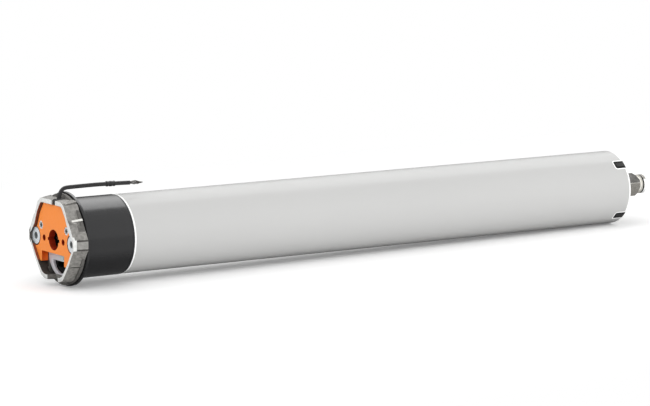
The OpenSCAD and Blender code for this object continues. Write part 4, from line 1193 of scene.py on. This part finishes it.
        # The plate's side and hole walls are painted darker as shade.
        self.eased("head_plate", "orange_plate", "orange_moulding", "orange_plate", 0.3, slices=[(0, self.lit_depth)],
                   zones=(("orange_side_shade", self.on_side), ("orange_hole_shade", self.in_hole),
                          # The deep bore is painted black as shade.
                          ("socket_black", self.deep_in_bore)))
        self.eased("connector_bracket", "socket_frame", "bracket_steel", "bracket_metal", 0.2)
        self.eased("plug_clip", "plug_clip_spring", "clip_steel", "zinc", 0.15)
        ScrewSet(self.palette, "lug_screw_row", "lug_screws", first=(0, -27.5, 0), step=(0, 55.0, 0),
                 head_radius=6.2, head_height=3.6, thread_radius=3.0, length=8.0, hex_size=4.6).build()
        ScrewSet(self.palette, "plate_screw_row", "plate_screws", first=(0.2, -19.35, 8.6), step=(0, 38.7, 0),
                 head_radius=3.0, head_height=2.0, thread_radius=1.5, length=8.2, cross_size=3.4).build()


@dataclass
class Crown(Assembly):
    """The black turning crown with its flange and its inner gear."""

    start: float = 9.6
    end: float = 49.4
    radius: float = 29.2
    flange_radius: float = 34.1
    flange_width: float = 2.2
    bore: float = 25.5
    gear_start: float = 27.6
    gear_width: float = 6.0
    gear_tip: float = 25.76
    gear_root: float = 27.4
    teeth: int = 66
    tooth: float = 1.5
    tooth_sunk: float = 0.3
    tooth_tip: float = 0.58
    segments: int = 224

    def shell(self) -> bmesh.types.BMesh:
        """Builds the crown's shell, with its flange rounded and the gear's groove in its bore."""
        s, e, f = self.start, self.end, self.flange_width
        g0, g1 = self.gear_start, self.gear_start + self.gear_width
        return lathe(rounded_outline([
            (s, self.bore, 0.3), (s, self.flange_radius, 0.5), (s + f, self.flange_radius, 0.5),
            (s + f, self.radius, 0.6), (e, self.radius, 0.5), (e, self.bore, 0.4), (g1, self.bore, 0),
            (g1, self.gear_root, 0), (g0, self.gear_root, 0), (g0, self.bore, 0)]), self.segments)

    def inner_teeth(self, made: NodeTree) -> bpy.types.Node:
        """Adds the nodes that set the inner gear's teeth round the axis.

        Args:
            made: The tree, with its named inputs.

        Returns:
            The last node.
        """
        teeth, root, tip, width, start, thickness = made.inputs
        height = made.maths("ADD", made.maths("SUBTRACT", root, tip), self.tooth_sunk * MM)
        block = made.add("GeometryNodeMeshCube", made.vector(width, thickness, height))
        parts = made.add("ShaderNodeSeparateXYZ", made.add("GeometryNodeInputPosition")).outputs
        share = made.maths("ADD", made.maths("DIVIDE", parts[2], height), 0.5)
        thinner = made.maths("MULTIPLY_ADD", share, 1 - self.tooth_tip, self.tooth_tip)
        narrow = made.maths("MULTIPLY", parts[1], thinner)
        tooth = made.add("GeometryNodeSetPosition", {
            "Geometry": block, "Position": made.vector(parts[0], narrow, parts[2])})
        centre = made.maths("ADD", tip, made.maths("MULTIPLY", height, 0.5))
        line = made.add("GeometryNodeMeshLine", {"Count": teeth, "Offset": (0, 0, 0)}, mode="OFFSET")
        half_on = made.maths("ADD", made.add("GeometryNodeInputIndex"), 0.5)
        angle = made.maths("MULTIPLY", made.maths("DIVIDE", half_on, teeth), 2 * math.pi)
        middle = made.maths("MULTIPLY_ADD", width, 0.5, start)
        spread = made.add("GeometryNodeSetPosition", {
            "Geometry": line, "Position": made.round_x(middle, centre, angle)})
        return made.copies(spread, tooth, made.vector(made.maths("SUBTRACT", angle, math.pi / 2)))

    def build(self) -> None:
        """Makes the shell and its teeth as pieces of the turning crown."""
        shell = self.shown("crown_shell", to_mesh(self.shell(), "crown_shell"), "black_moulding")
        self.stands_for(shell, "drive_crown", "black_plastic", "crown")
        mesh = grown("crown_teeth", self.inner_teeth, {
            "Teeth": self.teeth, "Root Radius": self.gear_root * MM, "Tip Radius": self.gear_tip * MM,
            "Width": self.gear_width * MM, "Start": self.gear_start * MM, "Thickness": self.tooth * MM})
        placed(self.shown("crown_teeth", mesh, "black_moulding", 20), "crown")


@dataclass
class Tube(Assembly):
    """The painted tube, whose far end has four notches."""

    radius: float = 29.0
    wall: float = 1.5
    start: float = 50.6
    end: float = 501.4
    notch_width: float = 7.0
    notch_length: float = 9.8
    notch_round: float = 1.6
    notches: int = 4
    notch_steps: int = 6
    cutter_low: float = 0.6
    bore_longer: float = 20.0
    # Width of the band at each end that is painted near white as an edge highlight.
    bare: float = 1.2
    segments: int = 256
    cells: int = 24

    def notched(self, made: NodeTree) -> bpy.types.Node:
        """Adds the nodes that roll the tube and cut its notches.

        Args:
            made: The tree, with its named inputs.

        Returns:
            The last node.
        """
        radius, wall, start, end, width, length, bend, segments = made.inputs
        span = made.maths("SUBTRACT", end, start)
        middle = made.vector(made.maths("MULTIPLY_ADD", span, 0.5, start))
        rolls = []
        for thinner, longer, cells in ((0.0, 0.0, self.cells), (1.0, self.bore_longer * MM, 1)):
            roll = made.add("GeometryNodeMeshCylinder", {
                "Vertices": segments, "Side Segments": cells, "Depth": made.maths("ADD", span, longer),
                "Radius": made.maths("SUBTRACT", radius, made.maths("MULTIPLY", wall, thinner))}, fill_type="NGON")
            rolls.append(made.add("GeometryNodeTransform", {
                "Geometry": roll, "Translation": middle, "Rotation": (math.pi / 2, 0, math.pi / 2)}))
        plate = made.add("GeometryNodeCurvePrimitiveQuadrilateral", {
            "Width": made.maths("MULTIPLY", length, 2.0), "Height": width})
        fillet = made.add("GeometryNodeFilletCurve", {"Curve": plate, "Count": self.notch_steps, "Radius": bend},
                          mode="POLY")
        filled = made.add("GeometryNodeFillCurve", fillet, mode="NGONS")
        low = made.maths("MULTIPLY", radius, self.cutter_low)
        both = made.add("GeometryNodeJoinGeometry", made.add("GeometryNodeExtrudeMesh", {
            "Mesh": filled, "Offset Scale": low}, mode="FACES"))
        made.plug(made.add("GeometryNodeFlipFaces", filled), both.inputs[0])
        welded = made.add("GeometryNodeMergeByDistance", {"Geometry": both, "Distance": 1e-6})
        lifted = made.add("GeometryNodeTransform", {"Geometry": welded, "Translation": made.vector(end, 0.0, low)})
        line = made.add("GeometryNodeMeshLine", {"Count": self.notches, "Offset": (0, 0, 0)}, mode="OFFSET")
        half_turn = math.pi / self.notches
        angle = made.maths("MULTIPLY_ADD", made.add("GeometryNodeInputIndex"), 2 * half_turn, half_turn)
        cut = made.add("GeometryNodeMeshBoolean", {"Mesh 1": rolls[0], "Mesh 2": rolls[1]}, operation="DIFFERENCE")
        made.plug(made.copies(line, lifted, made.vector(angle)), cut.inputs["Mesh 2"])
        return cut

    def build(self) -> None:
        """Makes the tube, whose cut edges are bare and near white, with a band at each end painted near white as an
        edge highlight.
        """
        mesh = grown("painted_tube", self.notched, {
            "Radius": self.radius * MM, "Wall": self.wall * MM, "Start": self.start * MM, "End": self.end * MM,
            "Notch Width": self.notch_width * MM, "Notch Length": self.notch_length * MM,
            "Notch Round": self.notch_round * MM, "Segments": self.segments})
        bm = bmesh.new()
        bm.from_mesh(mesh)
        painted = (self.start + self.bare, self.end - self.bare)
        for place in painted:
            split(bm, 0, place)
        piece = self.shown("painted_tube", to_mesh(bm, "painted_tube"), "sprayed_tube")
        # Cut faces and a band at each end are painted near white as edge highlights.
        piece.data.materials.append(self.palette.get("bare_edge_and_highlight"))
        for face in piece.data.polygons:
            out = Vector((0, face.center.y, face.center.z)).normalized()
            if abs(face.normal.dot(out)) < 0.9 or not painted[0] < face.center.x / MM < painted[1]:
                face.material_index = 1
        self.stands_for(piece, "motor_tube", "tube_paint")


@dataclass
class OutputEnd(Assembly):
    """The black end flange, its bush and the square shaft."""

    lug_start: float = 491.0
    lug_radius: float = 28.6
    flange_face: float = 501.0
    groove: tuple[float, float] = (528.8, 531.0)
    band: tuple[float, float] = (531.1, 532.5)

    def round_lug(self, middle: Vector) -> bool:
        """Says whether an edge is one of a lug's outer edges."""
        return middle.x / MM > self.lug_start and math.hypot(middle.y, middle.z) / MM > self.lug_radius

    def on_lug(self, face: Face) -> bool:
        """Says whether a face is the outer face of a lug, which is painted grey as a highlight within a black border.
        """
        return face.x > self.lug_start and face.reach > self.lug_radius and face.outward > 0.985

    def on_top(self, face: Face) -> bool:
        """Says whether a face lies on an upper flat of the square, which is painted dark as a reflection."""
        return self.flange_face < face.x < self.groove[0] and face.normal.z > 0.8

    def in_groove(self, face: Face) -> bool:
        """Says whether a face belongs to the groove, which is painted bright as a highlight."""
        return self.groove[0] < face.x < self.groove[1]

    def in_band(self, face: Face) -> bool:
        """Says whether a face lies on the band at the collar's start, which is painted dark as shade."""
        return self.band[0] < face.x < self.band[1]

    def on_collar(self, face: Face) -> bool:
        """Says whether a face belongs to the part of the collar that is painted near white as a highlight."""
        return face.x > self.band[1] and face.normal.x < 0.95 and face.normal.z < 0.6

    def build(self) -> None:
        """Makes the output end's pieces."""
        # The lugs' outer faces are painted grey as a highlight.
        self.eased("output_flange", "end_flange", "flange_black", "black_plastic", 0.8, where=self.round_lug,
                   zones=(("lug_highlight_grey", self.on_lug),))
        # The shaft's upper flats are painted dark as a reflection, its rounded corners and groove bright as highlights,
        # the band before the collar dark as shade, and the collar near white as a highlight.
        self.eased("output_shaft", "square_shaft", "shaft_steel", "shaft_steel", 0.45, 3, "output",
                   where=lambda middle: middle.x > 0.5, edge_finish="shaft_edge_highlight",
                   zones=(("shaft_top_reflection", self.on_top), ("shaft_edge_highlight", self.in_groove),
                          ("collar_band_shade", self.in_band), ("bare_edge_and_highlight", self.on_collar)),
                   slices=[(0, place) for place in self.band])


class Inside(Assembly):
    """The CAD nodes, of which those inside the head and the tube keep their CAD shape."""

    DRESS = {
        "zinc_plate": "neck_screws", "socket_black": "connector_socket", "contact_brass": "connector_pins",
        "neck_black": "neck_housing", "white_nylon": "sensor_pinion planet_1a planet_1b planet_1c",
        "sintered_magnet": "sensor_magnet", "tray_moulding": "electronics_tray capacitor_cradle",
        "board_laminate": "circuit_board", "relay_blue": "board_relays", "tinned_can": "radio_module",
        "chip_black": "hall_sensor", "terminal_green": "terminal_blocks", "brown_sheath": "supply_leads",
        "grey_sheath": "motor_leads", "capacitor_can": "run_capacitor",
        "shield_alloy": "front_end_shield rear_end_shield", "bush_bronze": "shaft_bushes output_bush",
        "lamination_steel": "stator_core rotor_core", "enamelled_copper": "stator_windings brake_coil",
        "ground_steel": "rotor_shaft", "brake_iron": "brake_magnet brake_armature", "spring_steel": "brake_spring",
        "friction_lining": "friction_disc", "sun_brass": "sun_gear_1",
        "carrier_steel": "gearbox_front_plate carrier_1 carrier_2 output_carrier",
        "hobbed_steel": "gearbox_ring_gear planet_2a planet_2b planet_2c planet_3a planet_3b planet_3c",
        "cast_alloy": "head_casting", "orange_moulding": "head_plate", "screw_steel": "plate_screws lug_screws",
        "bracket_steel": "connector_bracket", "clip_steel": "plug_clip", "grommet_rubber": "antenna_grommet",
        "lead_sheath": "antenna_wire", "crimp_sleeve": "antenna_sleeve", "bare_strand": "antenna_tip",
        "sprayed_tube": "motor_tube", "black_moulding": "drive_crown", "shaft_steel": "output_shaft",
        "flange_black": "output_flange",
    }

    def build(self) -> None:
        """Gives every CAD node its finish, also those that a finer piece stands for."""
        for finish, nodes in self.DRESS.items():
            for node in nodes.split():
                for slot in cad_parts[node].material_slots:
                    slot.material = self.palette.get(finish)
            LOG.info("%s: %s", finish, nodes)


def main() -> None:
    """Builds the camera and the cord first, then the rest of the motor and the studio."""
    logging.basicConfig(level=logging.INFO, format="%(message)s")
    StudioCamera().build()
    palette = Palette()
    for assembly in (Aerial, Head, Crown, Tube, OutputEnd, Inside):
        assembly(palette).build()
    Studio().build()


if __name__ == "__main__":
    main()
